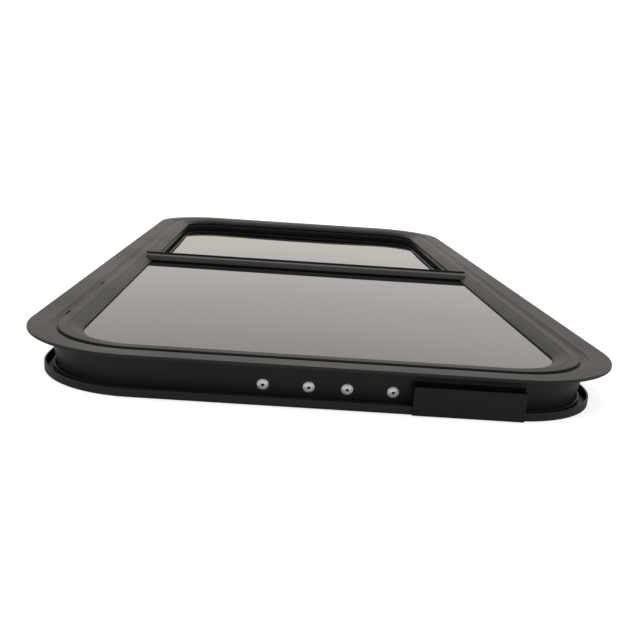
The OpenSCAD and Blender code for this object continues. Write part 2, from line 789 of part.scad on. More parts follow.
// Block in the sill's inner track with the pocket that takes the latch's bolt
module latch_keeper() {
    color(black_plastic) difference() {
        along_left(latch_y - keeper_l / 2, latch_y + keeper_l / 2) section([
            [keeper_in, screen_d], [track_in, screen_d], [track_in, base_d], [keeper_in, base_d]
        ]);
        slab(-half_w + track_in - bolt_travel, -half_w + track_in + over,
             latch_y - bolt_w / 2 - bolt_play, latch_y + bolt_w / 2 + bolt_play,
             bolt_d - bolt_play, bolt_d + bolt_t + bolt_play);
        at_keeper_screws() cylinder(d = keeper_screw_t + 2 * seat, h = keeper_screw_l + over);
    }
}

// Countersunk screws from the inner flange's underside up into the keeper
module keeper_screws() {
    color(bare_metal) at_keeper_screws() translate([0, 0, seat]) {
        cylinder(d1 = keeper_head_d, d2 = keeper_screw_t, h = keeper_head_h);
        cylinder(d = keeper_screw_t, h = keeper_screw_l);
    }
}

// ---------------------------------------------------------------- insect screen

// Bent rail of the screen: both sides and the far end, grooved for the mesh's cord
module screen_frame() {
    g = spline_groove;
    d0 = screen_top_d;
    d1 = screen_base_d;
    color(black_metal) far_loop(rail_end_y) section([
        [screen_in, d0], [screen_rail_in, d0], [screen_rail_in, d1], [spline_in + g, d1],
        [spline_in + g, d1 - 2 * g], [spline_in - g, d1 - 2 * g], [spline_in - g, d1],
        [screen_in, d1]
    ]);
}

// Straight rail across the screen's near end
module screen_near_rail() {
    x_end = half_w - screen_rail_in;
    g = spline_groove;
    d0 = screen_top_d;
    d1 = screen_base_d;
    color(black_metal) cross_bar(-x_end, x_end, [
        [rail_y, d0], [rail_end_y, d0], [rail_end_y, d1], [spline_y + g, d1],
        [spline_y + g, d1 - 2 * g], [spline_y - g, d1 - 2 * g], [spline_y - g, d1], [rail_y, d1]
    ]);
}

// Moulded corner pieces that join the near rail to the bent rail
module screen_corners() {
    color(black_plastic) for (side = [0, 1]) mirror([side, 0, 0])
        slab(-half_w + screen_in, -half_w + screen_rail_in, rail_y, rail_end_y,
             screen_top_d, screen_base_d);
}

// Woven mesh, drawn as a thin sheet
module screen_mesh() {
    color([0.25, 0.25, 0.25]) rotate([0, 0, 180])
        pane_plate(screen_rail_in, -rail_end_y, screen_base_d - mesh_t - mesh_lift, mesh_t);
}

// Cord that holds the mesh in the rails' groove
module screen_spline() {
    z_mid = top_z - screen_base_d + spline_groove;
    x_end = half_w - screen_rail_in;
    color(black_rubber) {
        far_loop(rail_end_y) translate([spline_in, z_mid]) circle(d = spline_d, $fn = 24);
        translate([-x_end, spline_y, z_mid]) rotate([0, 90, 0])
            cylinder(d = spline_d, h = 2 * x_end, $fn = 24);
    }
}

// Finger tabs under the near rail for lifting the screen out
module screen_pull_tabs() {
    color(black_plastic) for (x = [-tab_x, tab_x])
        slab(x - tab_l / 2, x + tab_l / 2, rail_y + tab_margin, spline_y - spline_groove - small_bevel,
             screen_base_d, top_z - tab_margin);
}

// ---------------------------------------------------------------- clamp ring and cover

module clamp_ring() {
    color(black_metal) difference() {
        whole_loop() section([
            [ring_inset + bevel_in, top_z], [ring_inset, top_z - bevel_in],
            [ring_inset, rim_top_d + small_bevel], [ring_inset + small_bevel, rim_top_d],
            [ring_inset + rim_t - small_bevel, rim_top_d],
            [ring_inset + rim_t, rim_top_d + small_bevel], [ring_inset + rim_t, frame_depth],
            [leg_in, frame_depth], [leg_in, frame_depth - leg_h],
            [leg_in + rim_t, frame_depth - leg_h], [leg_in + rim_t, frame_depth],
            [base_in, frame_depth], [base_in, top_z - bevel_in], [base_in - bevel_in, top_z]
        ]);
        joint_cut();
        at_clamp_screws() {
            translate([0, 0, -over]) cylinder(d = screw_d + 2 * seat, h = ring_t + 2 * over);
            translate([0, 0, -eps]) cylinder(d1 = sink_d + 4 * seat, d2 = screw_d, h = ring_t);
        }
    }
}

// Countersunk screws from the ring up into the frame's chase
module clamp_screws() {
    color(black_metal) at_clamp_screws() difference() {
        union() {
            translate([0, 0, head_lift]) cylinder(d1 = sink_d, d2 = screw_d, h = ring_t - 0.2);
            translate([0, 0, 1]) cylinder(d = screw_d, h = screw_l - screw_tip - 1);
            translate([0, 0, screw_l - screw_tip])
                cylinder(d1 = screw_d, d2 = screw_tip_d, h = screw_tip);
        }
        for (a = [0, 90]) rotate([0, 0, a])
            translate([-slot_l / 2, -slot_w / 2, -over]) cube([slot_l, slot_w, 2 * over]);
    }
}

// Folded cover that hangs over the ring's rim and stands in the ring
module rim_cover() {
    x1 = cover_x + cover_l;
    front = ring_inset - cover_gap - cover_t;
    top_d = top_z - cover_h;
    back = leg_in - cover_gap;
    wall = wall_at(top_d) - cover_lift;
    tongue = wall - cover_t;
    color(black_plastic) {
        along_near(cover_x, x1) section([
            [front, top_z - cover_lift], [front, top_d], [wall, top_d], [wall, top_d + cover_t],
            [back, top_d + cover_t], [back, frame_depth], [back - cover_t, frame_depth],
            [back - cover_t, top_d + cover_t], [front + cover_t, top_d + cover_t],
            [front + cover_t, top_z - cover_lift]
        ]);
        along_near(x1 - cover_tongue_w, x1) section([
            [tongue, top_d + eps], [tongue, top_d - cover_tongue_h],
            [tongue + cover_tongue_t, top_d - cover_tongue_h], [tongue + cover_tongue_t, top_d + eps]
        ]);
    }
}

// ---------------------------------------------------------------- sliding pane

module sliding_glass() {
    color(tinted) rotate([0, 0, 180]) pane_plate(sash_in, -sash_edge_y, sash_d, glass_t);
}

// Channel on the sliding pane's near edge, with the hook that meets the mullion's
module sash_stile() {
    x_end = half_w - stile_in;
    color(black_metal) difference() {
        cross_bar(-x_end, x_end, [
            [stile_y, mullion_in_d + hook_gap], [stile_y + hook_w, mullion_in_d + hook_gap],
            [stile_y + hook_w, stile_top_d], [stile_end_y, stile_top_d],
            [stile_end_y, stile_top_d + stile_t], [sash_edge_y - stile_lead, stile_top_d + stile_t],
            [sash_edge_y - stile_lead, stile_low_d], [stile_end_y, stile_low_d],
            [stile_end_y, stile_base_d], [stile_y, stile_base_d]
        ]);
        at_latch_screws() translate([0, 0, -over])
            cylinder(d = latch_screw_t + 2 * seat, h = stile_t + 2 * over);
    }
}

// Rubber on both faces of the sliding pane inside its stile
module stile_glazing() {
    x_end = half_w - stile_in;
    color(black_rubber) {
        slab(-x_end, x_end, sash_edge_y - rubber_back, stile_end_y + rubber_show,
             stile_top_d + stile_t, sash_d);
        slab(-x_end, x_end, sash_edge_y - rubber_back, stile_end_y + rubber_show,
             sash_d + glass_t, stile_low_d);
    }
}

// Sliding blocks that fill the stile's two ends and run in the lined channel
module sash_glides() {
    d0 = sash_d + glide_play;
    d1 = sash_d + glass_t - glide_play;
    color(black_plastic) along_sides(stile_y + glide_end_play, sash_edge_y - glide_end_play)
        section([[glide_in, d0], [stile_in, d0], [stile_in, d1], [glide_in, d1]]);
}

// Moulded grip under the stile, hollowed for the fingertips
module sash_pull() {
    y0 = stile_y + pull_margin;
    y1 = stile_end_y - pull_margin;
    low_d = stile_base_d + pull_h;
    color(black_plastic) difference() {
        cross_bar(-pull_l / 2, pull_l / 2, [
            [y0, stile_base_d], [y1, stile_base_d], [y1, low_d - pull_heel_h],
            [y1 - pull_heel, low_d], [y1 - pull_heel - pull_ridge, low_d],
            [y0 + pull_lead, stile_base_d + pull_toe + pull_lead_h], [y0, stile_base_d + pull_toe]
        ]);
        translate([0, y0 + pull_lead, top_z - stile_base_d - pull_scoop_drop]) rotate([0, 90, 0])
            cylinder(r = pull_scoop_r, h = pull_l - 2 * pull_end_wall, center = true, $fn = 96);
    }
}

// Housing of the slide bolt, screwed under the stile's sill end
module latch_housing() {
    x0 = latch_x;
    y0 = latch_y - latch_w / 2;
    color(black_plastic) difference() {
        slab(x0, x0 + latch_l, y0, y0 + latch_w, stile_base_d, stile_base_d + latch_h);
        slab(x0 - over, x0 + latch_l - bolt_end_wall, latch_y - bolt_w / 2 - bolt_play,
             latch_y + bolt_w / 2 + bolt_play, bolt_d - bolt_play, bolt_d + bolt_t + bolt_play);
        slab(x0 + thumb_setback - bolt_play, x0 + thumb_setback + thumb_l + bolt_travel + bolt_play,
             latch_y - thumb_w / 2 - bolt_play, latch_y + thumb_w / 2 + bolt_play,
             bolt_d, stile_base_d + latch_h + over);
        for (side = [-1, 1])
            translate([x0 - over, latch_y + side * latch_w / 2, top_z - stile_base_d - latch_h])
                rotate([45, 0, 0]) translate([0, -latch_bevel, -latch_bevel])
                    cube([latch_l + 2 * over, 2 * latch_bevel, 2 * latch_bevel]);
        at_latch_screws() translate([0, 0, -latch_h - over]) {
            cylinder(d = latch_screw_t + 2 * seat, h = latch_h + 2 * over);
            cylinder(d = latch_head_d + 4 * seat, h = latch_head_h + 0.2 + over);
        }
    }
}

// Slotted screws that lie a little inside the housing's face
module latch_screws() {
    color(bare_metal) at_latch_screws() translate([0, 0, -latch_h + 0.2]) {
        translate([0, 0, latch_head_h - 0.2])
            cylinder(d = latch_screw_t, h = latch_h - latch_head_h + latch_screw_grip);
        difference() {
            cylinder(d = latch_head_d, h = latch_head_h);
            translate([-latch_head_d, -slot_w / 2, -over])
                cube([2 * latch_head_d, slot_w, over + latch_head_h / 2]);
        }
    }
}

// Slide bolt with its thumb piece, drawn back
module latch_bolt() {
    thumb_x = latch_x + thumb_setback + bolt_travel;
    color(bare_metal) {
        slab(latch_x - bolt_show, latch_x + latch_l - bolt_end_wall - bolt_travel,
             latch_y - bolt_w / 2, latch_y + bolt_w / 2, bolt_d, bolt_d + bolt_t);
        slab(thumb_x, thumb_x + thumb_l, latch_y - thumb_w / 2, latch_y + thumb_w / 2,
             bolt_d + bolt_t, stile_base_d + latch_h + thumb_rise);
    }
}

outer_frame();
frame_splice();
splice_rivets();
fixed_glass();
fixed_glass_gasket();
setting_blocks();
glazing_infill();
mullion();
mullion_glazing_strip();
mullion_bulb_seal();
mullion_pile();
mullion_screws();
run_channel();
travel_stops();
latch_keeper();
keeper_screws();
screen_frame();
screen_near_rail();
screen_corners();
screen_mesh();
screen_spline();
screen_pull_tabs();
clamp_ring();
clamp_screws();
rim_cover();
sliding_glass();
sash_stile();
stile_glazing();
sash_glides();
sash_pull();
latch_housing();
latch_screws();
latch_bolt();
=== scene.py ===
import json
import math

import bmesh
import bpy
from bpy.props import FloatProperty, FloatVectorProperty, IntProperty, PointerProperty
from mathutils import Matrix, Vector


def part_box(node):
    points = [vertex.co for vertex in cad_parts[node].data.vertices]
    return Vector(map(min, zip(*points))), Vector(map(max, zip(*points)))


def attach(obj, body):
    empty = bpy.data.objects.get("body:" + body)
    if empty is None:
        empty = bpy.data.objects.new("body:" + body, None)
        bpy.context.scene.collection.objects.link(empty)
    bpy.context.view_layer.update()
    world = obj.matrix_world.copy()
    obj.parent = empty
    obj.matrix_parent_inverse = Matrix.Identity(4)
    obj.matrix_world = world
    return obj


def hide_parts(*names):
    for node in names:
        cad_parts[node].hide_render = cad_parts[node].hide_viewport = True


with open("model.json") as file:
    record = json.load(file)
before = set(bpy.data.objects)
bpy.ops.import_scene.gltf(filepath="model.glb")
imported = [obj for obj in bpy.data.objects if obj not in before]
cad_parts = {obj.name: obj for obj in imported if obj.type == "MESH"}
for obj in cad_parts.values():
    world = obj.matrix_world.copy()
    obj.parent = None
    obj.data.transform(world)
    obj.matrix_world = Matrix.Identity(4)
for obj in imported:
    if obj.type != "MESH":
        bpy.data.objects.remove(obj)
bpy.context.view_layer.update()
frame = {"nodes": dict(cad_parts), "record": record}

bl_info = {
    "name": "Half-slider window",
    "version": (1, 0, 0),
    "blender": (4, 5, 0),
    "location": "View3D > Sidebar > Window",
    "description": "Models and finishes a radius-corner half-slider window round its packed solids",
    "category": "Object",
}

MM = 0.001
FINE = 1e-5                       # points closer than this are the same
THIN_R = 0.25 * MM                # rounding of the sections' thin edges
CORNER_R = 0.5 * MM               # rounding of their stouter corners
CHANNEL_W = 8 * MM                # how far the mullion's glazing channel reaches over the fixed pane
GROOVE_IN = 1.2 * MM              # from the mullion's far face to the groove of its round seal
GROOVE_W = 2.4 * MM               # width of that groove
GROOVE_D = 1 * MM                 # depth of that groove

FLOOR_SIZE = 12                   # metres
FLOOR_Z = -0.5 * MM               # just under the ring, so that no two faces fall together
UPWARDS = (0.35, 0.8)             # a look's Z between which the studio dims overhead
FORWARDS = (-0.6, 0.3)            # a look's Y between which it goes from behind to ahead

HALF_W, HALF_L, TOP_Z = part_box("outer_frame")[1]


# ------------------------------------------------------------------ sizes and colours

def size(name, description, default, low=0.0):
    """A length property, given in millimetres and kept in metres."""
    return FloatProperty(name=name, description=description, default=default * MM,
                         min=low * MM, max=1000 * MM, unit="LENGTH", precision=4)


def colour(name, description, default):
    """A colour property."""
    return FloatVectorProperty(name=name, description=description, default=default,
                               subtype="COLOR", size=3, min=0.0, max=1.0)


def share(name, description, default):
    """A share from 0 to 1."""
    return FloatProperty(name=name, description=description, default=default,
                         min=0.0, max=1.0, subtype="FACTOR")


class ViewSettings(bpy.types.PropertyGroup):
    """Camera, floor and studio light."""

    lens: FloatProperty(name="Lens", description="Focal length of the camera in millimetres",
                        default=44.12, min=10, max=200)
    place: FloatVectorProperty(name="Camera place", description="Where the camera stands",
                               default=(-0.0357, -0.8622, 0.17097), subtype="TRANSLATION")
    pitch: FloatProperty(name="Pitch", description="How far the camera looks down",
                         default=math.radians(14.505), subtype="ANGLE")
    yaw: FloatProperty(name="Yaw", description="How far the camera is turned towards +X",
                       default=math.radians(0.746), subtype="ANGLE")
    roll: FloatProperty(name="Roll", description="How far the camera leans sideways",
                        default=math.radians(3.827), subtype="ANGLE")
    shift_x: FloatProperty(name="Shift X", description="Sideways shift of the picture", default=0.0639)
    shift_y: FloatProperty(name="Shift Y", description="Upward shift of the picture", default=0.0232)
    key_power: FloatProperty(name="Key light", description="Power of the large soft light in watts",
                             default=12, min=0, max=200)
    key_size: FloatProperty(name="Key size", description="Side of the large soft light",
                            default=1.6, min=0.1, max=5, unit="LENGTH")
    key_place: FloatVectorProperty(name="Key place", description="Where the large soft light hangs",
                                   default=(-0.6, -1.2, 2.0), subtype="TRANSLATION")
    floor_colour: colour("Floor colour", "Colour of the pale floor", (0.8, 0.8, 0.8))
    floor_glow: share("Floor glow", "How strongly the camera sees the floor glow", 0.7)
    ceiling: share("Ceiling", "Brightness of the studio straight above", 0.4)
    behind: share("Behind the camera", "Brightness of the studio behind the camera", 0.85)
    ahead: colour("Ahead", "Warm white of the studio ahead of the camera", (1.0, 0.95, 0.89))


class ExtrusionSettings(bpy.types.PropertyGroup):
    """Section of the frame's extrusion."""

    corner_r: size("Corner radius", "Radius of the flange's outer edge at the corners", 82.5)
    corner_steps: IntProperty(name="Corner steps", description="Facets in each rounded corner",
                              default=28, min=8, max=64)
    depth: size("Depth", "From the flange's outer edge to the frame's inner end", 30)
    flange_t: size("Flange", "Thickness of the flange", 2)
    flange_fall: size("Flange fall", "How far the flange's face falls towards the recess", 0.7)
    edge_r: size("Edge rounding", "Rounding of the flange's outer edge", 0.6)
    wall_in: size("Wall", "Inset of the leaning wall where it meets the flange", 16)
    wall_lean: size("Lean", "How far the wall leans inwards over its height", 4.5)
    recess_in: size("Recess", "Inset of the recess's outer edge", 15.4)
    recess_step: size("Recess step", "Small step from the flange down into the recess", 0.5)
    recess_depth: size("Recess depth", "Depth of the recess at the bead's foot", 2.6)
    bead_in: size("Bead", "Inset of the bead's outer face", 20.8)
    bead_drop: size("Bead drop", "Depth of the bead's top below the flange's edge", 0.7)
    bead_r: size("Bead rounding", "Rounding of the bead's outer edge", 0.7)
    crease_in: size("Crease", "Inset of the line where the slope starts", 27.6)
    crease_w: size("Crease line", "Width of the fine line between bead and slope", 0.9)
    crease_deep: size("Crease depth", "Depth of that line", 0.45)
    slope_bow: size("Slope bow", "How far the slope's face bows out between head and foot", 0.65)
    lip_in: size("Lip", "Inset of the slope's edge over the pane", 38.2)
    slope_drop: size("Slope foot", "Depth of the slope's foot", 4.9)
    lip_d: size("Lip underside", "Depth of the underside of the slope's edge", 5.5)
    lip_flat: size("Lip flat", "Flat under the lip that the rubber bears on", 2.4)
    root_d: size("Slope root", "Depth of the slope's underside at the tracks", 2.8)
    spine_in: size("Tracks' back", "Inset of the wall behind the tracks", 28.1)
    track_in: size("Tracks' edge", "Inset of the tracks' inner edges", 36.7)
    base_in: size("Inner flange", "Inset of the inner flange's edge", 34.2)
    base_d: size("Inner flange face", "Depth of the inner flange's upper face", 28.5)
    web_d: size("Upper web", "Depth of the web under the fixed pane", 9.5)
    track_d: size("Sash track", "Depth of the sash track's upper face", 11)
    lower_lip_d: size("Sash track's lip", "Depth of the sash track's lower face", 17.8)
    web_t: size("Web", "Thickness of the webs", 1.5)
    screen_lip_d: size("Screen track's web", "Depth of the web over the screen's track", 21)
    screen_d: size("Screen track", "Depth of the screen track's upper face", 22.5)
    joint_x: size("Joint", "Place of the frame's and ring's butt joint on the near side", 4.5)
    joint_gap: size("Joint gap", "Width of that joint", 0.08)
    weep_l: size("Drain slot length", "Length of a drain slot", 13)
    weep_w: size("Drain slot width", "Width of a drain slot", 2.4)
    weep_first: size("First drain slot", "From the near edge to the first slot", 109)
    weep_pitch: size("Drain slot pitch", "Distance between the slots", 116.5)


class RingSettings(bpy.types.PropertyGroup):
    """Clamp ring and the folded cover on its rim."""

    web_t: size("Ring web", "Thickness of the ring's web", 1.6)
    inset: size("Ring inset", "From the flange's edge to the ring's outer face", 11.5)
    rim_h: size("Rim height", "Height of the upturned rim", 5.8)
    rim_t: size("Rim thickness", "Thickness of the rim and the inner leg", 1.4)
    leg_in: size("Inner leg", "Inset of the inner leg's outer face", 17.625)
    leg_h: size("Inner leg height", "Height of the inner leg", 3.2)
    cover_x: size("Cover place", "Left end of the folded cover", 59)
    cover_l: size("Cover length", "Length of the folded cover", 72.5)
    cover_h: size("Cover height", "Height of the folded cover", 19.5)
    cover_t: size("Cover sheet", "Thickness of the cover's sheet", 1.6)
    cover_rise: size("Cover rise", "How far the cover's hollow runs up the wall behind it", 2.8)
    cover_gap: size("Cover gap", "Gap between the cover and what it hangs on", 0.3)


class BarSettings(bpy.types.PropertyGroup):
    """Mullion across the middle."""

    nose_y: size("Front face", "Place of the front face along the window", -14, -100)
    width: size("Width", "Width of the mullion", 18)
    rise: size("Rise", "How far it stands above the flange's edge", 0.1)
    end_in: size("Ends", "Inset of the bar's ends where they stand on the slope", 31.6)
    nose_h: size("Front face height", "Height of the front face", 4.8)
    nose_lean: size("Front face lean", "How far the front face leans back over its height", 0.8)
    nose_r: size("Front edge rounding", "Rounding between the front face and the top", 2)
    nose_slot: size("Shadow slot", "Depth of the slot under the front face", 3)
    edge_r: size("Edge rounding", "Rounding of the top's edges", 0.8)
    seal_r: size("Seal radius", "Radius of the round seal on the far edge", 1.6)


class PaneSettings(bpy.types.PropertyGroup):
    """Both tinted panes."""

    glass_t: size("Glass", "Thickness of both panes", 3)
    arris: size("Arris", "Ground bevel on the glass's edges", 0.4)
    fixed_in: size("Fixed pane", "Inset of the fixed pane's edge", 31.4)
    fixed_d: size("Fixed pane's depth", "Depth of the fixed pane's face", 6)


class RivetSettings(bpy.types.PropertyGroup):
    """Blind rivets beside the joint."""

    head_d: size("Head", "Diameter of a rivet's head", 7.9)
    head_h: size("Head height", "Height of a rivet's head", 2)
    near: size("Inner rivets", "From the joint to the inner rivets", 12.5)
    far: size("Outer rivets", "From the joint to the outer rivets", 42.4)
    depth: size("Rivets' depth", "Depth of the rivets below the flange's edge", 19.4)


class FinishSettings(bpy.types.PropertyGroup):
    """Colours of the finishes."""

    coat: colour("Powder coat", "Satin black of the frame", (0.014, 0.014, 0.0136))
    # The mullion's colour is the frame's powder coat made about three times lighter: painted light for
    # the brighter sheen its front face catches, not a greyer coat.
    bar: colour("Mullion coat", "Greyer satin black of the mullion", (0.046, 0.046, 0.0435))
    ring: colour("Ring coat", "Satin black of the ring, its screws and the screen", (0.014, 0.014, 0.014))
    sheet: colour("Cover sheet", "Black of the folded cover", (0.007, 0.007, 0.007))
    aluminium: colour("Bright aluminium", "Rivets and splice", (0.93, 0.93, 0.93))
    steel: colour("Zinc steel", "Screws and bolt", (0.6, 0.6, 0.61))
    rubber: colour("Rubber", "Seals and glazing strips", (0.006, 0.006, 0.006))
    trim: colour("Vinyl trim", "Strip beside the sliding pane", (0.012, 0.012, 0.012))
    nylon: colour("Moulded nylon", "Pull, latch, keeper and glides", (0.008, 0.008, 0.008))
    pile: colour("Brush pile", "Pile strips in the tracks", (0.008, 0.008, 0.008))
    mesh: colour("Screen mesh", "Woven insect mesh", (0.03, 0.03, 0.03))
    glass: colour("Tinted glass", "Tint of both panes", (0.03, 0.03, 0.028))


class WindowSettings(bpy.types.PropertyGroup):
    """All sizes and colours of the window."""

    view: PointerProperty(type=ViewSettings)
    section: PointerProperty(type=ExtrusionSettings)
    ring: PointerProperty(type=RingSettings)
    bar: PointerProperty(type=BarSettings)
    pane: PointerProperty(type=PaneSettings)
    rivet: PointerProperty(type=RivetSettings)
    finish: PointerProperty(type=FinishSettings)


def settings():
    """The sizes and colours of the window in this scene."""
    return bpy.context.scene.half_slider


# ------------------------------------------------------------------ modelling by hand

def near_side(x):
    """Where a section's inset and depth lie on the near side, at X."""
    return lambda inset, depth: Vector((x, -HALF_L + inset, TOP_Z - depth))


def beside(side, y):
    """The same at Y, on the left side (-1) or the right side (1)."""
    return lambda inset, depth: Vector((side * (HALF_W - inset), y, TOP_Z - depth))


def across(x):
    """Where a place along Y and a depth lie in a section of a bar across the window."""
    return lambda y, depth: Vector((x, y, TOP_Z - depth))


def pick(piece, test, kind="VERT"):
    """Selects the points by their place, the edges, or the faces by their middle and normal."""
    bpy.ops.mesh.select_mode(type=kind)
    bpy.ops.mesh.select_all(action="DESELECT")
    shell = bmesh.from_edit_mesh(piece.data)
    if kind == "VERT":
        for point in shell.verts:
            point.select = test(point.co)
    elif kind == "EDGE":
        for edge in shell.edges:
            edge.select = test(edge)
    else:
        shell.normal_update()
        for face in shell.faces:
            face.select = test(face.calc_center_median(), face.normal)
    shell.select_flush_mode()
    bmesh.update_edit_mesh(piece.data)


def run_of(edge):
    """From one end of an edge to the other."""
    return edge.verts[0].co - edge.verts[1].co


def start_point(name, place):
    """Starts a piece in edit mode from one vertex."""
    bpy.ops.mesh.primitive_plane_add(size=MM)
    piece = bpy.context.object
    piece.name = piece.data.name = name
    bpy.ops.object.mode_set(mode="EDIT")
    bpy.ops.mesh.select_mode(type="VERT")
    bpy.ops.mesh.merge(type="CENTER")
    bpy.ops.transform.translate(value=place)
    return piece


def draw_section(name, outline, place):
    """Draws an outline from point to point, closes it with a face and rounds its corners."""
    points = [place(corner[0], corner[1]) for corner in outline]
    piece = start_point(name, points[0])
    for here, there in zip(points, points[1:]):
        bpy.ops.mesh.extrude_vertices_move(TRANSFORM_OT_translate={"value": there - here})
    bpy.ops.mesh.select_all(action="SELECT")
    bpy.ops.mesh.edge_face_add()
    for rounding in sorted({corner[2] for corner in outline if len(corner) > 2}):
        corners = [point for point, corner in zip(points, outline) if corner[2:] == (rounding,)]
        pick(piece, lambda co: any((co - point).length < FINE for point in corners))
        bpy.ops.mesh.bevel(affect="VERTICES", offset=rounding, segments=4)
    bpy.ops.mesh.select_all(action="SELECT")
    return piece


def slope_face(s, steps=8):
    """The bowed slope from its foot up to the fine line at its head, as [inset, depth]."""
    run, drop = s.lip_in - s.crease_in, s.slope_drop - s.bead_drop
    face = []
    for step in range(steps + 1):
        along = 1 - step / steps * (1 - s.crease_w / run)
        arch = 4 * along * (1 - along)
        fuller_at_foot = 0.6 + 0.8 * along
        face.append((s.crease_in + run * along,
                     s.bead_drop + drop * along - s.slope_bow * arch * fuller_at_foot))
    deepest = s.crease_in + s.crease_w * 0.4
    return face + [(deepest, s.bead_drop + s.crease_deep)]


def pull_out(x=0.0, y=0.0, z=0.0):
    """Extrudes what is selected along a straight line."""
    bpy.ops.mesh.extrude_region_move(TRANSFORM_OT_translate={"value": (x, y, z)})


def bend_round(side_x, side_y):
    """Spins what is selected a quarter turn round a corner of the window."""
    s = settings().section
    middle = (side_x * (HALF_W - s.corner_r), side_y * (HALF_L - s.corner_r), 0)
    bpy.ops.mesh.spin(steps=s.corner_steps, angle=-math.pi / 2, center=middle, axis=(0, 0, 1))


def sweep_whole_loop():
    """Takes a section from the joint all the way round the window and back to it."""
    s = settings().section
    leg = HALF_L - s.corner_r
    end = HALF_W - s.corner_r
    pull_out(x=end - s.joint_x - s.joint_gap / 2)
    bend_round(1, -1)
    pull_out(y=2 * leg)
    bend_round(1, 1)
    pull_out(x=-2 * end)
    bend_round(-1, 1)
    pull_out(y=-2 * leg)
    bend_round(-1, -1)
    pull_out(x=end + s.joint_x - s.joint_gap / 2)


def sweep_half_loop(end, start_y):
    """Takes a section round the near end (-1), from left to right, or the far end (1) and back."""
    s = settings().section
    leg = end * (HALF_L - s.corner_r)
    pull_out(y=leg - start_y)
    bend_round(end, end)
    pull_out(x=-2 * end * (HALF_W - s.corner_r))
    bend_round(-end, end)
    pull_out(y=start_y - leg)


def leave_edit():
    """Merges doubles, turns the faces outwards and goes back to object mode."""
    bpy.ops.mesh.select_all(action="SELECT")
    bpy.ops.mesh.remove_doubles(threshold=FINE / 10)
    bpy.ops.mesh.normals_make_consistent(inside=False)
    bpy.ops.object.mode_set(mode="OBJECT")


def only(piece):
    """Makes a piece the one that is selected and active."""
    bpy.ops.object.select_all(action="DESELECT")
    piece.select_set(True)
    bpy.context.view_layer.objects.active = piece


def apply_modifier(piece, kind, **values):
    """Adds a modifier to a piece and applies it."""
    only(piece)
    modifier = piece.modifiers.new(kind.lower(), kind)
    for name, value in values.items():
        setattr(modifier, name, value)
    bpy.ops.object.modifier_apply(modifier=modifier.name)


def cut_away(piece, *cutters):
    """Cuts the cutters' shapes out of a piece."""
    for cutter in cutters:
        apply_modifier(piece, "BOOLEAN", object=cutter, operation="DIFFERENCE", solver="EXACT")
        bpy.data.objects.remove(cutter)


def join_all(pieces, name):
    """Joins like pieces into one."""
    only(pieces[0])
    for piece in pieces:
        piece.select_set(True)
    bpy.ops.object.join()
    pieces[0].name = pieces[0].data.name = name
    return pieces[0]


def soften(piece, angle=35):
    """Smooths the roundings and keeps the flats flat."""
    only(piece)
    bpy.ops.object.shade_smooth_by_angle(angle=math.radians(angle))
    apply_modifier(piece, "WEIGHTED_NORMAL", keep_sharp=True, weight=80)


def put_on(piece, material):
    """Makes a material the piece's only one."""
    piece.data.materials.clear()
    piece.data.materials.append(material)


def hand_over(piece, body, slot, node, finish=None):
    """Gives a finished piece its finish and its body, and hides the solid that it stands for."""
    put_on(piece, finish_for(finish or slot))
    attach(piece, body)
    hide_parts(node)


# ------------------------------------------------------------------ finishes

class Finish:
    """A material under making: its node tree, its main shader and its object coordinates."""

    def __init__(self, name, base, roughness, ior=1.5, metallic=0.0):
        self.material = bpy.data.materials.new(name)
        self.material.use_nodes = True
        self.nodes = self.material.node_tree.nodes
        self.links = self.material.node_tree.links
        self.shader = self.nodes["Principled BSDF"]
        self.set(Base_Color=(*base, 1), Roughness=roughness, IOR=ior, Metallic=metallic)
        self.place = self.nodes.new("ShaderNodeTexCoord").outputs["Object"]

    def set(self, **values):
        """Sets constants on the shader's sockets, whose names have spaces for underscores."""
        for name, value in values.items():
            self.shader.inputs[name.replace("_", " ")].default_value = value

    def noise(self, scale, detail=2.0, stretch=(1, 1, 1)):
        """Noise with so many grains to the metre, drawn out along the axes by stretch."""
        mapping = self.nodes.new("ShaderNodeMapping")
        mapping.inputs["Scale"].default_value = stretch
        texture = self.nodes.new("ShaderNodeTexNoise")
        texture.inputs["Scale"].default_value = scale
        texture.inputs["Detail"].default_value = detail
        self.links.new(self.place, mapping.inputs["Vector"])
        self.links.new(mapping.outputs[0], texture.inputs["Vector"])
        return texture.outputs["Fac"]

    def spread(self, value, low, high, start=0.3, end=0.7):
        """Maps a pattern's range to low and high."""
        ramp = self.nodes.new("ShaderNodeMapRange")
        ramp.inputs["From Min"].default_value = start
        ramp.inputs["From Max"].default_value = end
        ramp.inputs["To Min"].default_value = low
        ramp.inputs["To Max"].default_value = high
        self.links.new(value, ramp.inputs["Value"])
        return ramp.outputs["Result"]

    def vary_roughness(self, value, low, high):
        """Lets the roughness wander with a pattern."""
        self.links.new(self.spread(value, low, high), self.shader.inputs["Roughness"])

    def vary_colour(self, value, dark, light):
        """Lets the colour wander with a pattern."""
        mix = self.nodes.new("ShaderNodeMix")
        mix.data_type = "RGBA"
        mix.inputs[6].default_value = (*dark, 1)
        mix.inputs[7].default_value = (*light, 1)
        self.links.new(self.spread(value, 0, 1), mix.inputs[0])
        self.links.new(mix.outputs[2], self.shader.inputs["Base Color"])

    def bump(self, value, height, strength):
        """Raises the surface by a pattern; height is in metres."""
        bump = self.nodes.new("ShaderNodeBump")
        bump.inputs["Strength"].default_value = strength
        bump.inputs["Distance"].default_value = height
        self.links.new(value, bump.inputs["Height"])
        self.links.new(bump.outputs[0], self.shader.inputs["Normal"])


def shade(base, by):
    """A colour made lighter or darker, up to white."""
    return tuple(min(1.0, part * by) for part in base)


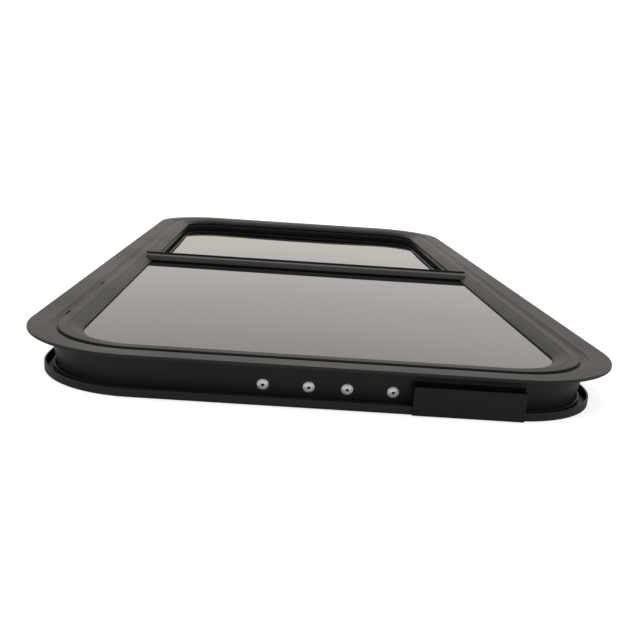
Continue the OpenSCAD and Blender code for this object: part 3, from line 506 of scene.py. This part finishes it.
def powder_coat(name, base):
    """Satin black powder coat: fine orange peel and slow changes of gloss."""
    f = Finish(name, base, 0.44, ior=1.35)
    f.vary_roughness(f.noise(14), 0.41, 0.47)
    f.vary_colour(f.noise(9), shade(base, 0.85), shade(base, 1.15))
    f.bump(f.noise(900, 3), 0.00004, 0.25)
    return f.material


def folded_sheet(name, base):
    """Plain black sheet with a fine grain."""
    f = Finish(name, base, 0.45, ior=1.35)
    f.vary_roughness(f.noise(20), 0.42, 0.5)
    f.bump(f.noise(1200), 0.00004, 0.2)
    return f.material


def bright_aluminium(name, base):
    """Drawn aluminium with fine marks from the press."""
    f = Finish(name, base, 0.5, metallic=0.45)
    f.vary_roughness(f.noise(700), 0.42, 0.55)
    f.bump(f.noise(1500), 0.00002, 0.2)
    return f.material


def zinc_steel(name, base):
    """Zinc-plated steel, blotched in gloss and colour."""
    f = Finish(name, base, 0.3, metallic=1.0)
    f.vary_roughness(f.noise(600), 0.24, 0.4)
    f.vary_colour(f.noise(300), shade(base, 0.85), shade(base, 1.1))
    return f.material


def dull_rubber(name, base):
    """Dull rubber with a fine grain."""
    f = Finish(name, base, 0.6, ior=1.3)
    f.vary_roughness(f.noise(60), 0.55, 0.68)
    f.bump(f.noise(1800), 0.00004, 0.3)
    return f.material


def vinyl_trim(name, base):
    """Extruded vinyl, glossier than the coats."""
    f = Finish(name, base, 0.32, ior=1.33)
    f.vary_roughness(f.noise(40), 0.28, 0.36)
    f.bump(f.noise(600), 0.00003, 0.15)
    return f.material


def moulded_nylon(name, base):
    """Spark-grained nylon."""
    f = Finish(name, base, 0.5, ior=1.35)
    f.bump(f.noise(2200, 4), 0.00006, 0.5)
    return f.material


def brush_pile(name, base):
    """Short brush pile, its hairs drawn out along Z."""
    f = Finish(name, base, 0.9, ior=1.3)
    f.vary_colour(f.noise(1800), shade(base, 0.4), shade(base, 2.0))
    f.bump(f.noise(2500, 1, (1, 1, 0.15)), 0.0003, 0.8)
    return f.material


def woven_mesh(name, base):
    """Two crossed sets of threads with clear holes between them."""
    f = Finish(name, base, 0.7)
    threads = []
    for axis in ("X", "Y"):
        wave = f.nodes.new("ShaderNodeTexWave")
        wave.bands_direction = axis
        wave.inputs["Scale"].default_value = 220
        f.links.new(f.place, wave.inputs["Vector"])
        threads.append(f.spread(wave.outputs["Fac"], 0, 1, 0.55, 0.75))
    weave = f.nodes.new("ShaderNodeMath")
    weave.operation = "MAXIMUM"
    f.links.new(threads[0], weave.inputs[0])
    f.links.new(threads[1], weave.inputs[1])
    f.links.new(weave.outputs[0], f.shader.inputs["Alpha"])
    f.bump(weave.outputs[0], 0.0002, 0.5)
    return f.material


def tinted_glass(name, base):
    """Tinted toughened glass with a thin clear coat and a faint roller wave."""
    f = Finish(name, base, 0.02, ior=1.5)
    f.set(Transmission_Weight=1.0, Coat_Weight=0.21, Coat_IOR=1.5, Coat_Roughness=0.02)
    f.bump(f.noise(7, 0), 0.0012, 0.8)
    return f.material


MAKERS = {
    "frame_coat": (powder_coat, "coat"),
    # Lighter copy of the frame's coat on the mullion: painted light for the sheen its front face catches.
    "mullion_coat": (powder_coat, "bar"),
    "ring_coat": (powder_coat, "ring"),
    "screen_coat": (powder_coat, "ring"),
    "cover_sheet": (folded_sheet, "sheet"),
    "bare_aluminium": (bright_aluminium, "aluminium"),
    "rivet_metal": (bright_aluminium, "aluminium"),
    "screw_steel": (zinc_steel, "steel"),
    "black_screws": (powder_coat, "ring"),
    "bolt_metal": (zinc_steel, "steel"),
    "tinted_glass": (tinted_glass, "glass"),
    "rubber": (dull_rubber, "rubber"),
    "trim": (vinyl_trim, "trim"),
    "block_rubber": (dull_rubber, "rubber"),
    "pile": (brush_pile, "pile"),
    "moulding": (moulded_nylon, "nylon"),
    "mesh": (woven_mesh, "mesh"),
}


def finish_for(slot):
    """The material of a slot, made the first time it is asked for."""
    name = slot + "_finish"
    if name in bpy.data.materials:
        return bpy.data.materials[name]
    maker, colour_name = MAKERS[slot]
    return maker(name, tuple(getattr(settings().finish, colour_name)))


# ------------------------------------------------------------------ operators

class WINDOW_OT_stage(bpy.types.Operator):
    """Sets up the floor, the studio light and the camera"""

    bl_idname = "half_slider.stage"
    bl_label = "Stage"

    def execute(self, context):
        view = settings().view
        context.scene.view_settings.view_transform = "Standard"
        self.add_camera(context, view)
        self.add_floor(view)
        self.add_room(context, view)
        self.add_key(context, view)
        return {"FINISHED"}

    def add_camera(self, context, view):
        """Builds the camera's axes from its pitch, yaw and roll."""
        data = bpy.data.cameras.new("view_camera")
        camera = bpy.data.objects.new("view_camera", data)
        context.scene.collection.objects.link(camera)
        data.lens, data.sensor_width = view.lens, 36
        data.shift_x, data.shift_y = view.shift_x, view.shift_y
        data.clip_start, data.clip_end = 0.01, 50
        ahead = Vector((math.sin(view.yaw) * math.cos(view.pitch),
                        math.cos(view.yaw) * math.cos(view.pitch), -math.sin(view.pitch)))
        level = Vector((math.cos(view.yaw), -math.sin(view.yaw), 0))
        upright = level.cross(ahead)
        right = level * math.cos(view.roll) + upright * math.sin(view.roll)
        up = upright * math.cos(view.roll) - level * math.sin(view.roll)
        turn = Matrix((right, up, -ahead)).transposed().to_4x4()
        camera.matrix_world = Matrix.Translation(view.place) @ turn
        context.scene.camera = camera

    def add_floor(self, view):
        """A wide pale floor that takes shadows and glows for the camera alone."""
        bpy.ops.mesh.primitive_plane_add(size=FLOOR_SIZE, location=(0, 0, FLOOR_Z))
        floor = bpy.context.object
        floor.name = "floor"
        bpy.ops.object.transform_apply(location=True)
        material = bpy.data.materials.new("floor")
        material.use_nodes = True
        tree = material.node_tree
        tree.nodes.clear()
        matt = tree.nodes.new("ShaderNodeBsdfDiffuse")
        matt.inputs["Color"].default_value = (*view.floor_colour, 1)
        glow = tree.nodes.new("ShaderNodeEmission")
        glow.inputs["Strength"].default_value = view.floor_glow
        lift = tree.nodes.new("ShaderNodeAddShader")
        tree.links.new(matt.outputs[0], lift.inputs[0])
        tree.links.new(glow.outputs[0], lift.inputs[1])
        self.split(tree, matt, lift, "ShaderNodeOutputMaterial")
        put_on(floor, material)

    def add_room(self, context, view):
        """A white room, dimmer above and behind the camera and warmer ahead of it."""
        world = bpy.data.worlds.new("studio")
        context.scene.world = world
        world.use_nodes = True
        tree = world.node_tree
        tree.nodes.clear()
        where = tree.nodes.new("ShaderNodeTexCoord")
        parts = tree.nodes.new("ShaderNodeSeparateXYZ")
        tree.links.new(where.outputs["Generated"], parts.inputs[0])
        strength = tree.nodes.new("ShaderNodeMath")
        strength.operation = "MULTIPLY"
        above = self.fade(tree, parts.outputs["Z"], UPWARDS, 1.0, view.ceiling)
        behind = self.fade(tree, parts.outputs["Y"], FORWARDS, view.behind, 1.0)
        tree.links.new(above, strength.inputs[0])
        tree.links.new(behind, strength.inputs[1])
        tint = tree.nodes.new("ShaderNodeMix")
        tint.data_type = "RGBA"
        tint.inputs[6].default_value = (1, 1, 1, 1)
        tint.inputs[7].default_value = (*view.ahead, 1)
        tree.links.new(self.fade(tree, parts.outputs["Y"], FORWARDS, 0.0, 1.0), tint.inputs[0])
        room = tree.nodes.new("ShaderNodeBackground")
        tree.links.new(tint.outputs[2], room.inputs["Color"])
        tree.links.new(strength.outputs[0], room.inputs["Strength"])
        white = tree.nodes.new("ShaderNodeBackground")
        white.inputs["Color"].default_value = (1, 1, 1, 1)
        self.split(tree, room, white, "ShaderNodeOutputWorld")

    def add_key(self, context, view):
        """One large soft light, aimed at the window, that no surface mirrors."""
        light = bpy.data.lights.new("key", "AREA")
        light.energy, light.size = view.key_power, view.key_size
        key = bpy.data.objects.new("key", light)
        context.scene.collection.objects.link(key)
        key.location = view.key_place
        key.visible_glossy = False
        key.rotation_euler = (-key.location).to_track_quat("-Z", "Y").to_euler()

    def split(self, tree, lights, seen, output):
        """Ends a tree with one shader that lights the scene and one that the camera sees."""
        path = tree.nodes.new("ShaderNodeLightPath")
        mix = tree.nodes.new("ShaderNodeMixShader")
        tree.links.new(path.outputs["Is Camera Ray"], mix.inputs[0])
        tree.links.new(lights.outputs[0], mix.inputs[1])
        tree.links.new(seen.outputs[0], mix.inputs[2])
        tree.links.new(mix.outputs[0], tree.nodes.new(output).inputs[0])

    def fade(self, tree, value, span, low, high):
        """Goes smoothly from low to high while the value crosses a span."""
        ramp = tree.nodes.new("ShaderNodeMapRange")
        ramp.interpolation_type = "SMOOTHSTEP"
        for name, number in zip(("From Min", "From Max", "To Min", "To Max"), (*span, low, high)):
            ramp.inputs[name].default_value = number
        tree.links.new(value, ramp.inputs["Value"])
        return ramp.outputs["Result"]


class WINDOW_OT_finishes(bpy.types.Operator):
    """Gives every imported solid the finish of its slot"""

    bl_idname = "half_slider.finishes"
    bl_label = "Finishes"

    def execute(self, context):
        slots = {part["node"]: part["material_slot"] for part in frame["record"]["subparts"]}
        for node, solid in frame["nodes"].items():
            put_on(solid, finish_for(slots[node]))
        return {"FINISHED"}


class WINDOW_OT_frame(bpy.types.Operator):
    """Sweeps the frame's extrusion round the window"""

    bl_idname = "half_slider.frame"
    bl_label = "Outer frame"

    def execute(self, context):
        s = settings().section
        start_x = s.joint_x + s.joint_gap / 2
        piece = draw_section("frame_extrusion", self.outline(s), near_side(start_x))
        sweep_whole_loop()
        leave_edit()
        for index in range(2):
            cut_away(piece, self.drain_slot(s, index))
        cut_away(piece, *self.screw_pockets())
        soften(piece)
        hand_over(piece, "window_frame", "frame_coat", "outer_frame")
        return {"FINISHED"}

    def outline(self, s):
        """The section as [inset, depth, rounding], from the flange's edge round to the recess."""
        root_r = 1 * MM
        recess_foot = s.recess_in + s.recess_step / 2
        return [
            (0, 0, s.edge_r), (0, s.flange_t, THIN_R), (s.wall_in, s.flange_t, root_r),
            (s.wall_in + s.wall_lean, s.depth), (s.base_in, s.depth, CORNER_R), (s.base_in, s.base_d),
            (s.spine_in, s.base_d), (s.spine_in, s.screen_d), (s.track_in, s.screen_d),
            (s.track_in, s.screen_lip_d, THIN_R), (s.spine_in, s.screen_lip_d),
            (s.spine_in, s.lower_lip_d + s.web_t), (s.track_in, s.lower_lip_d + s.web_t, THIN_R),
            (s.track_in, s.lower_lip_d, THIN_R), (s.spine_in, s.lower_lip_d),
            (s.spine_in, s.track_d), (s.track_in, s.track_d, THIN_R), (s.track_in, s.web_d, THIN_R),
            (s.spine_in, s.web_d), (s.spine_in, s.root_d), (s.lip_in - s.lip_flat, s.lip_d),
            (s.lip_in, s.lip_d), *slope_face(s),
            (s.crease_in, s.bead_drop), (s.bead_in, s.bead_drop, s.bead_r),
            (s.bead_in, s.recess_depth), (recess_foot, s.flange_fall + s.recess_step),
            (s.recess_in, s.flange_fall, THIN_R),
        ]

    def drain_slot(self, s, index):
        """A rounded block that cuts a drain slot in the recess, at the bead's foot."""
        middle_d, height = 2.2 * MM, 3.6 * MM
        nearly_half = 0.48
        y = -HALF_L + s.weep_first + index * s.weep_pitch
        bpy.ops.mesh.primitive_cube_add(
            size=1, location=(-HALF_W + s.bead_in - s.weep_w / 2, y, TOP_Z - middle_d),
            scale=(s.weep_w, s.weep_l, height))
        slot = bpy.context.object
        bpy.ops.object.transform_apply(location=True, scale=True)
        bpy.ops.object.mode_set(mode="EDIT")
        pick(slot, lambda edge: run_of(edge).xy.length < FINE, "EDGE")
        bpy.ops.mesh.bevel(offset=s.weep_w * nearly_half, segments=6)
        bpy.ops.object.mode_set(mode="OBJECT")
        return slot

    def screw_pockets(self):
        """Cylinders that open the wall over the heads of the mullion's screws."""
        clearance, length, depth = 0.1 * MM, 6 * MM, 2.3 * MM
        low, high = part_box("mullion_screws")
        middle = (low + high) / 2
        cutters = []
        for side in (-1, 1):
            bpy.ops.mesh.primitive_cylinder_add(
                vertices=32, radius=(high.z - low.z) / 2 + clearance, depth=length,
                rotation=(0, math.pi / 2, 0),
                location=(side * (high.x - depth + length / 2), middle.y, middle.z))
            bpy.ops.object.transform_apply(location=True, rotation=True)
            cutters.append(bpy.context.object)
        return cutters


class WINDOW_OT_clamp_ring(bpy.types.Operator):
    """Sweeps the clamp ring with its upturned rim and inner leg"""

    bl_idname = "half_slider.clamp_ring"
    bl_label = "Clamp ring"

    def execute(self, context):
        s, r = settings().section, settings().ring
        face = s.depth + r.web_t
        outline = [
            (r.inset, face, CORNER_R), (r.inset, face - r.rim_h, THIN_R),
            (r.inset + r.rim_t, face - r.rim_h, THIN_R), (r.inset + r.rim_t, s.depth),
            (r.leg_in, s.depth), (r.leg_in, s.depth - r.leg_h, THIN_R),
            (r.leg_in + r.rim_t, s.depth - r.leg_h, THIN_R), (r.leg_in + r.rim_t, s.depth),
            (s.base_in, s.depth), (s.base_in, face, CORNER_R),
        ]
        piece = draw_section("clamp_ring_extrusion", outline, near_side(s.joint_x + s.joint_gap / 2))
        sweep_whole_loop()
        leave_edit()
        cut_away(piece, self.countersinks())
        soften(piece)
        hand_over(piece, "window_frame", "ring_coat", "clamp_ring")
        return {"FINISHED"}

    def countersinks(self):
        """One cone for each clamp screw, at the screws' own places."""
        head_r, bore_r, cone_h, below = 3.5 * MM, 1.6 * MM, 2 * MM, 0.1 * MM
        cones = []
        for x, y in self.screw_places():
            bpy.ops.mesh.primitive_cone_add(
                vertices=32, radius1=head_r, radius2=bore_r, depth=cone_h,
                location=(x, y, cone_h / 2 - below))
            bpy.ops.object.transform_apply(location=True)
            cones.append(bpy.context.object)
        return join_all(cones, "countersinks")

    def screw_places(self):
        """The middle of each clamp screw's head, from the solid's points near the ring's face."""
        near_face, one_head = 0.5 * MM, 10 * MM
        points = [v.co for v in frame["nodes"]["clamp_screws"].data.vertices if v.co.z < near_face]
        places = []
        for point in points:
            if all((point.xy - place).length >= one_head for place in places):
                head = [other for other in points if (other - point).length < one_head]
                places.append(Vector(((min(p.x for p in head) + max(p.x for p in head)) / 2,
                                      (min(p.y for p in head) + max(p.y for p in head)) / 2)))
        return places


class WINDOW_OT_mullion(bpy.types.Operator):
    """Models the mullion and the round seal on its far edge"""

    bl_idname = "half_slider.mullion"
    bl_label = "Mullion"

    def execute(self, context):
        s, b = settings().section, settings().bar
        hook_foot = TOP_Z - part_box("mullion")[0].z
        nose_foot = b.nose_h - b.rise
        channel = b.nose_y + b.nose_slot
        stop = channel + CHANNEL_W
        floor = s.web_d + 0.9 * MM
        toe, hook, hook_back = b.nose_y - 1 * MM, b.nose_y + 1 * MM, b.nose_y + 2.5 * MM
        rear = b.nose_y + b.width
        groove, groove_front = rear - GROOVE_IN, rear - GROOVE_IN - GROOVE_W
        outline = [
            (b.nose_y + b.nose_lean, -b.rise, b.nose_r), (b.nose_y, nose_foot, 0.3 * MM),
            (channel, nose_foot), (channel, s.lip_d), (stop, s.lip_d), (stop, s.web_d),
            (toe, s.web_d), (toe, floor), (hook, floor), (hook, hook_foot, 0.2 * MM),
            (hook_back, hook_foot, 0.2 * MM), (hook_back, floor), (rear, floor),
            (rear, -b.rise, b.edge_r), (groove, -b.rise), (groove, GROOVE_D - b.rise),
            (groove_front, GROOVE_D - b.rise), (groove_front, -b.rise),
        ]
        reach = HALF_W - s.crease_in + 1 * MM
        piece = draw_section("mullion_bar", outline, across(-reach))
        pull_out(x=2 * reach)
        leave_edit()
        for side in (-1, 1):
            cut_away(piece, self.end_cut(s, b, side))
        soften(piece)
        # The mullion's solid is frame coat; it gets the lighter copy of that coat, with painted light for
        # its front face's sheen.
        hand_over(piece, "window_frame", "frame_coat", "mullion", finish="mullion_coat")
        self.add_seal(s, b, rear - GROOVE_IN - GROOVE_W / 2)
        return {"FINISHED"}

    def end_cut(self, s, b, side):
        """What the bead, the slope and the lip take from the bar's end."""
        past, over, under = 5 * MM, -20 * MM, 30 * MM
        start, end = b.nose_y - past, b.nose_y + b.width + past
        steep = (s.slope_drop - s.bead_drop) / (s.lip_in - s.crease_in)
        meet = s.bead_drop + (b.end_in - s.crease_in) * steep
        clear = s.lip_in + 0.3 * MM
        outline = [
            (0, over), (b.end_in, over), (b.end_in, meet), (s.lip_in, s.slope_drop),
            (s.lip_in, s.lip_d), (clear, s.lip_d + 0.1 * MM), (clear, under), (0, under),
        ]
        cutter = draw_section("end_cut", outline, beside(side, start))
        pull_out(y=end - start)
        leave_edit()
        return cutter

    def add_seal(self, s, b, y):
        """A little more than half a round cord, whose flat foot lies over the bar's groove."""
        end = HALF_W - s.crease_in - 2 * MM
        below_middle = 0.2 * MM
        centre = Vector((-end, y, TOP_Z + b.rise + below_middle))
        foot = centre.z - below_middle
        bpy.ops.mesh.primitive_circle_add(vertices=32, radius=b.seal_r, fill_type="NGON",
                                          rotation=(0, math.pi / 2, 0), location=centre)
        seal = bpy.context.object
        seal.name = seal.data.name = "round_seal"
        bpy.ops.object.transform_apply(location=True, rotation=True)
        bpy.ops.object.mode_set(mode="EDIT")
        pick(seal, lambda co: co.z < foot)
        bpy.ops.transform.resize(value=(1, 1, 0), center_override=(centre.x, centre.y, foot),
                                 orient_type="GLOBAL")
        bpy.ops.mesh.select_all(action="SELECT")
        pull_out(x=2 * end)
        leave_edit()
        soften(seal)
        hand_over(seal, "window_frame", "rubber", "mullion_bulb_seal")


class WINDOW_OT_panes(bpy.types.Operator):
    """Models both tinted panes with ground edges"""

    bl_idname = "half_slider.panes"
    bl_label = "Panes"

    def execute(self, context):
        s, p = settings().section, settings().pane
        for node, name, body, end in (("fixed_glass", "fixed_pane", "window_frame", -1),
                                      ("sliding_glass", "sliding_pane", "sash", 1)):
            low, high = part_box(node)
            bpy.ops.mesh.primitive_plane_add(size=1, location=(0, (low.y + high.y) / 2, low.z))
            piece = bpy.context.object
            piece.name = piece.data.name = name
            piece.scale = (high.x - low.x, high.y - low.y, 1)
            bpy.ops.object.transform_apply(location=True, scale=True)
            bpy.ops.object.mode_set(mode="EDIT")
            round_y = low.y if end < 0 else high.y
            corner_r = s.corner_r - (HALF_W - high.x)
            pick(piece, lambda co: abs(co.y - round_y) < FINE)
            bpy.ops.mesh.bevel(affect="VERTICES", offset=corner_r, segments=s.corner_steps)
            bpy.ops.mesh.select_all(action="SELECT")
            pull_out(z=high.z - low.z)
            bpy.ops.mesh.select_all(action="SELECT")
            bpy.ops.mesh.normals_make_consistent(inside=False)
            pick(piece, lambda edge: edge.calc_face_angle(0) > 1 and abs(run_of(edge).z) < FINE, "EDGE")
            bpy.ops.mesh.bevel(offset=p.arris, segments=1)
            leave_edit()
            soften(piece, 25)
            hand_over(piece, body, "tinted_glass", node)
        return {"FINISHED"}


class WINDOW_OT_rubbers(bpy.types.Operator):
    """Models the rubber round the fixed pane and the strip beside the sliding pane"""

    bl_idname = "half_slider.rubbers"
    bl_label = "Rubbers and trim"

    def execute(self, context):
        s, p, b = settings().section, settings().pane, settings().bar
        self.add_gasket(s, p, b)
        self.add_infill(s, b)
        return {"FINISHED"}

    def add_gasket(self, s, p, b):
        """The rubber that wraps the fixed pane's edge and shows under the slope's lip."""
        show = s.lip_in + 0.4 * MM
        wrap = p.fixed_in - 0.2 * MM
        back = wrap - 1 * MM
        under_glass = p.fixed_d + p.glass_t
        start = b.nose_y + b.nose_slot + CHANNEL_W
        gasket = draw_section("pane_gasket", [
            (back, s.lip_d), (show, s.lip_d, 0.15 * MM), (show, p.fixed_d), (wrap, p.fixed_d),
            (wrap, under_glass), (s.track_in, under_glass), (s.track_in, s.web_d), (back, s.web_d),
        ], beside(-1, start))
        sweep_half_loop(-1, start)
        leave_edit()
        soften(gasket)
        hand_over(gasket, "window_frame", "rubber", "fixed_glass_gasket")

    def add_infill(self, s, b):
        """The vinyl strip that fills the empty glazing channel beside the sliding pane."""
        gap = 0.1 * MM
        top, foot = 7.1 * MM, 10 * MM
        start = b.nose_y + b.width + 0.5 * MM
        strip = draw_section("infill_strip", [
            (s.spine_in + gap, top), (s.lip_in, top, 0.4 * MM), (s.lip_in, foot, 0.2 * MM),
            (s.track_in + gap, foot), (s.track_in + gap, s.web_d), (s.spine_in + gap, s.web_d),
        ], beside(1, start))
        sweep_half_loop(1, start)
        leave_edit()
        soften(strip)
        hand_over(strip, "window_frame", "trim", "glazing_infill")


class WINDOW_OT_rivets(bpy.types.Operator):
    """Spins the four blind rivets beside the joint"""

    bl_idname = "half_slider.rivets"
    bl_label = "Rivets"

    def execute(self, context):
        s, r = settings().section, settings().rivet
        lean = math.atan(s.wall_lean / (s.depth - s.flange_t))
        wall = s.wall_in + s.wall_lean * (r.depth - s.flange_t) / (s.depth - s.flange_t)
        rivets = []
        for x in (-r.far, -r.near, r.near, r.far):
            rivets.append(self.rivet(r, Vector((s.joint_x + x, -HALF_L + wall, TOP_Z - r.depth)), lean))
        piece = join_all(rivets, "rivet_heads")
        soften(piece, 40)
        hand_over(piece, "window_frame", "rivet_metal", "splice_rivets")
        return {"FINISHED"}

    def rivet(self, r, place, lean):
        """A domed head with the hollow that the pulled mandrel leaves."""
        # Shares of the head's radius, with the millimetres above the wall or below the head's top
        dome = ((1, 0.35), (0.93, 0.72), (0.78, 1.2), (0.58, 1.62))
        hollow = ((0.46, 0.05), (0.38, 0), (0.33, 0.15), (0.31, 3.4), (0, 3.6))
        half = r.head_d / 2
        shank_r, shank_l = 2 * MM, 4 * MM
        outline = [
            (0, -shank_l), (shank_r, -shank_l), (shank_r, 0), (half, 0),
            *((half * out, up * MM) for out, up in dome),
            *((half * out, r.head_h - down * MM) for out, down in hollow),
        ]
        piece = draw_section("rivet", outline, lambda out, up: Vector((out, 0, up)))
        bpy.ops.mesh.spin(steps=32, angle=math.tau, center=(0, 0, 0), axis=(0, 0, 1))
        pick(piece, lambda middle, normal: abs(middle.y) < FINE and abs(normal.y) > 0.9, "FACE")
        bpy.ops.mesh.delete(type="FACE")
        leave_edit()
        bpy.ops.transform.rotate(value=-(math.pi / 2 + lean), orient_axis="X",
                                 center_override=(0, 0, 0))
        bpy.ops.transform.translate(value=place)
        bpy.ops.object.transform_apply(location=True, rotation=True)
        return piece


class WINDOW_OT_rim_cover(bpy.types.Operator):
    """Folds the sheet cover that hangs over the ring's rim"""

    bl_idname = "half_slider.rim_cover"
    bl_label = "Rim cover"

    def execute(self, context):
        s, r = settings().section, settings().ring
        steep = s.wall_lean / (s.depth - s.flange_t)
        base = s.depth + r.web_t
        clear, edge_t = 0.2 * MM, 0.15 * MM
        lower = base - clear
        top = base - r.cover_h
        front = r.inset - r.cover_gap - r.cover_t
        back = r.leg_in - r.cover_gap
        under = top + r.cover_t
        wall = s.wall_in + steep * (top - s.flange_t) - clear
        high_wall = wall - steep * r.cover_rise - edge_t
        outline = [
            (front, lower), (front, top, CORNER_R), *self.hollow(r, front, high_wall, top),
            (high_wall + edge_t, top - r.cover_rise), (wall, under, 0.2 * MM), (back, under),
            (back, s.depth), (back - r.cover_t, s.depth), (back - r.cover_t, under),
            (front + r.cover_t, under), (front + r.cover_t, lower),
        ]
        piece = draw_section("folded_cover", outline, near_side(r.cover_x))
        pull_out(x=r.cover_l)
        leave_edit()
        soften(piece)
        hand_over(piece, "window_frame", "cover_sheet", "rim_cover")
        return {"FINISHED"}

    def hollow(self, r, front, wall, top, steps=10):
        """A quarter round from the cover's flat top up the wall behind it."""
        start = front + r.cover_t * 1.5
        points = []
        for step in range(steps + 1):
            turn = math.pi / 2 * step / steps
            points.append((start + (wall - start) * math.sin(turn),
                           top - r.cover_rise * (1 - math.cos(turn))))
        return points


class WINDOW_PT_panel(bpy.types.Panel):
    """Lists the window's making steps and settings"""

    bl_idname = "WINDOW_PT_half_slider"
    bl_label = "Half-slider window"
    bl_space_type = "VIEW_3D"
    bl_region_type = "UI"
    bl_category = "Window"

    def draw(self, context):
        layout = self.layout
        for operator in OPERATORS:
            layout.operator(operator.bl_idname)
        for group_name in WindowSettings.__annotations__:
            box = layout.box()
            box.label(text=group_name.title())
            group = getattr(context.scene.half_slider, group_name)
            for name in group.__annotations__:
                box.prop(group, name)


GROUPS = (ViewSettings, ExtrusionSettings, RingSettings, BarSettings, PaneSettings, RivetSettings,
          FinishSettings, WindowSettings)
OPERATORS = (WINDOW_OT_stage, WINDOW_OT_finishes, WINDOW_OT_frame, WINDOW_OT_clamp_ring,
             WINDOW_OT_mullion, WINDOW_OT_panes, WINDOW_OT_rubbers, WINDOW_OT_rivets,
             WINDOW_OT_rim_cover)


def register():
    """Registers the settings, the making steps and the panel."""
    for group in GROUPS:
        bpy.utils.register_class(group)
    for operator in OPERATORS:
        bpy.utils.register_class(operator)
    bpy.utils.register_class(WINDOW_PT_panel)
    bpy.types.Scene.half_slider = PointerProperty(type=WindowSettings)


def unregister():
    """Takes them away again."""
    del bpy.types.Scene.half_slider
    bpy.utils.unregister_class(WINDOW_PT_panel)
    for cls in reversed(GROUPS + OPERATORS):
        bpy.utils.unregister_class(cls)


def main():
    """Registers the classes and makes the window."""
    register()
    for operator in OPERATORS:
        group, name = operator.bl_idname.split(".")
        getattr(getattr(bpy.ops, group), name)()


if __name__ == "__main__":
    main()
